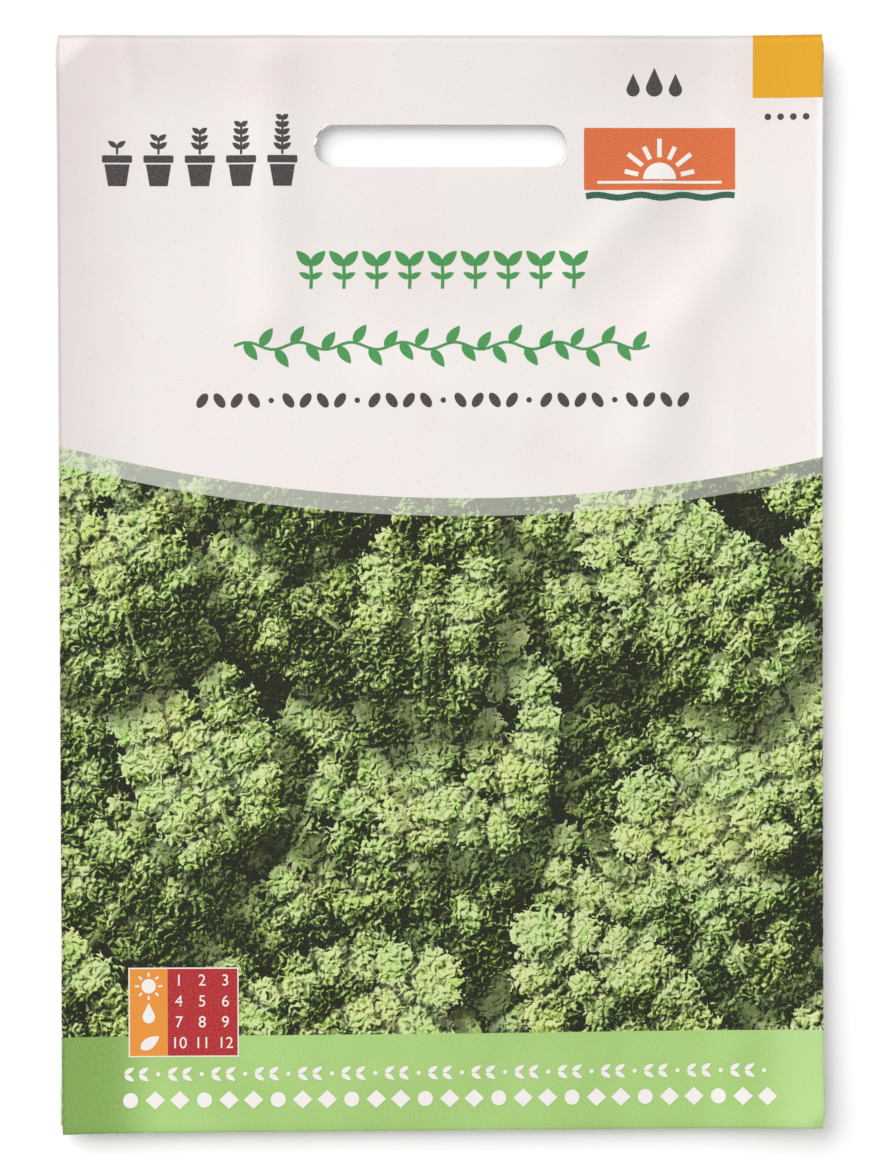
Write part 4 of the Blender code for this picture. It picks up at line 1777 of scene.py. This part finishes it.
def glue_pad(name, left, right, bottom, top, above_back):
    """A pad in the gap over the back panel, or in the one under it."""
    x, y = np.meshgrid(stations(left, right, BACK_STEP), stations(bottom, top, BACK_STEP), indexing="ij")
    if right - left < top - bottom:
        x = x + wavy(y)
    else:
        y = y + wavy(x)
    z = back_level(x, y) + (LAYER_STEP / 2 if above_back else -LAYER_STEP / 2)
    pad = sheet(name, np.stack([x, y, z], axis=2), GLUE)
    for i in range(len(SIDES)):
        pad.data.materials[i] = glue
    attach(pad, "root")
    return pad


seam_ends = (SEAM_MARGIN - BODY_END, BODY_END - SEAM_MARGIN)
seam = glue_pad("seam_glue_pad", LAP_EDGE + GLUE_MARGIN, BACK_EDGE - GLUE_MARGIN, *seam_ends, above_back=True)
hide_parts("side_seam_glue")
bottom_ends = (GLUE_MARGIN - BODY_END, BOTTOM_FLAP - HALF_HEIGHT - GLUE_MARGIN)
bottom = glue_pad("bottom_flap_glue_pad", -GLUE_END, GLUE_END, *bottom_ends, above_back=False)
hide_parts("bottom_flap_glue")
top_ends = (HALF_HEIGHT - TOP_FLAP + GLUE_MARGIN, BODY_END - GLUE_MARGIN)
top = glue_pad("top_flap_glue_pad", -GLUE_END, GLUE_END, *top_ends, above_back=False)
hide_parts("top_flap_glue")
seal_ends = (SEAL_BOTTOM, SEAL_BOTTOM + SEAL_HEIGHT)
seal = glue_pad("header_seal_glue_pad", -GLUE_END, LAP_EDGE - LAP_WIDTH / 2, *seal_ends, above_back=True)
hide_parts("header_seal_glue")
finish_sheets([seam, bottom, top, seal], with_slot=[])
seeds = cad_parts["kale_seeds"]
seeds.data.materials.clear()
seeds.data.materials.append(seed_coat)

# %% [markdown]
# ## The white floor
# The packet lies on white board, which is so bright that it shows as plain white. It is a wide
# grid with a faint cloud in its tone, a hair below the packet, so that they don't touch. It is
# only a stage, and isn't exported with the packet.

# %% Lay the floor
FLOOR_HALF = 1.5
FLOOR_GAP = 0.06 * MM


def white_floor():
    bm = bmesh.new()
    bmesh.ops.create_grid(bm, x_segments=8, y_segments=8, size=FLOOR_HALF)
    bmesh.ops.translate(bm, verts=bm.verts, vec=(0, 0, -FLOOR_GAP))
    mesh = bpy.data.meshes.new("floor")
    bm.to_mesh(mesh)
    bm.free()
    floor = bpy.data.objects.new("floor", mesh)
    bpy.context.scene.collection.objects.link(floor)
    material, g, place = new_material("white_board")
    shade = g.between(g.noise(place, 0.01, 2.0), 0.3, 0.7)
    tint = g.mix(shade, (0.96, 0.96, 0.96, 1), (0.98, 0.98, 0.98, 1))
    g.show(g.add("ShaderNodeBsdfPrincipled", {"Base Color": tint, "Roughness": 0.9}))
    mesh.materials.append(material)


white_floor()
print("the floor is", 2 * FLOOR_HALF, "m wide")

# %% [markdown]
# ## Light
# One large soft light stands high at the upper left, among white surroundings. A large disc
# gives the faint shading of the ridges and the soft, narrow shadow at the right and below.
# Standard colours keep what the light shows as it is, as a product photograph does.

# %% Light the packet
KEY_PLACE = (-1.86, 1.95, 1.63)
KEY_SIZE, KEY_WATTS = 3.8, 116.9
SURROUNDINGS = 0.701


def soft_light(name, place, size, watts, aim=(0, 0, 0)):
    data = bpy.data.lights.new(name, "AREA")
    data.shape = "DISK"
    data.size = size
    data.energy = watts
    light = bpy.data.objects.new(name, data)
    bpy.context.scene.collection.objects.link(light)
    light.location = place
    to_aim = Vector(aim) - light.location
    light.rotation_euler = to_aim.to_track_quat("-Z", "Y").to_euler()


def surroundings(strength):
    world = bpy.data.worlds.new("white surroundings")
    world.use_nodes = True
    world.node_tree.nodes["Background"].inputs["Color"].default_value = (1.0, 1.0, 1.0, 1)
    world.node_tree.nodes["Background"].inputs["Strength"].default_value = strength
    bpy.context.scene.world = world


soft_light("key", KEY_PLACE, KEY_SIZE, KEY_WATTS)
surroundings(SURROUNDINGS)
bpy.context.scene.view_settings.view_transform = "Standard"
print("the key light is", round(math.hypot(*KEY_PLACE), 2), "m away")

# %% [markdown]
# ## Camera
# The packet was photographed from straight above, from half a metre. The camera's place and
# small tilts, in degrees, are those that put the packet's four corners where they are in the
# photograph. The lens follows from the photograph's width in pixels.

# %% Place the camera
IMAGE_WIDTH = 880
FOCAL_PIXELS = 3307.6
CAMERA_PLACE = (-14.6 * MM, 10.2 * MM, 500 * MM)
CAMERA_TILT = (-1.157, -1.645, -0.184)


def photo_camera():
    data = bpy.data.cameras.new("camera")
    data.sensor_fit = "HORIZONTAL"
    data.sensor_width = 36.0
    data.lens = FOCAL_PIXELS / IMAGE_WIDTH * data.sensor_width
    camera = bpy.data.objects.new("camera", data)
    camera.location = CAMERA_PLACE
    camera.rotation_euler = [math.radians(angle) for angle in CAMERA_TILT]
    bpy.context.scene.collection.objects.link(camera)
    bpy.context.scene.camera = camera
    return camera


print("the lens is", round(photo_camera().data.lens, 1), "mm")

# %% [markdown]
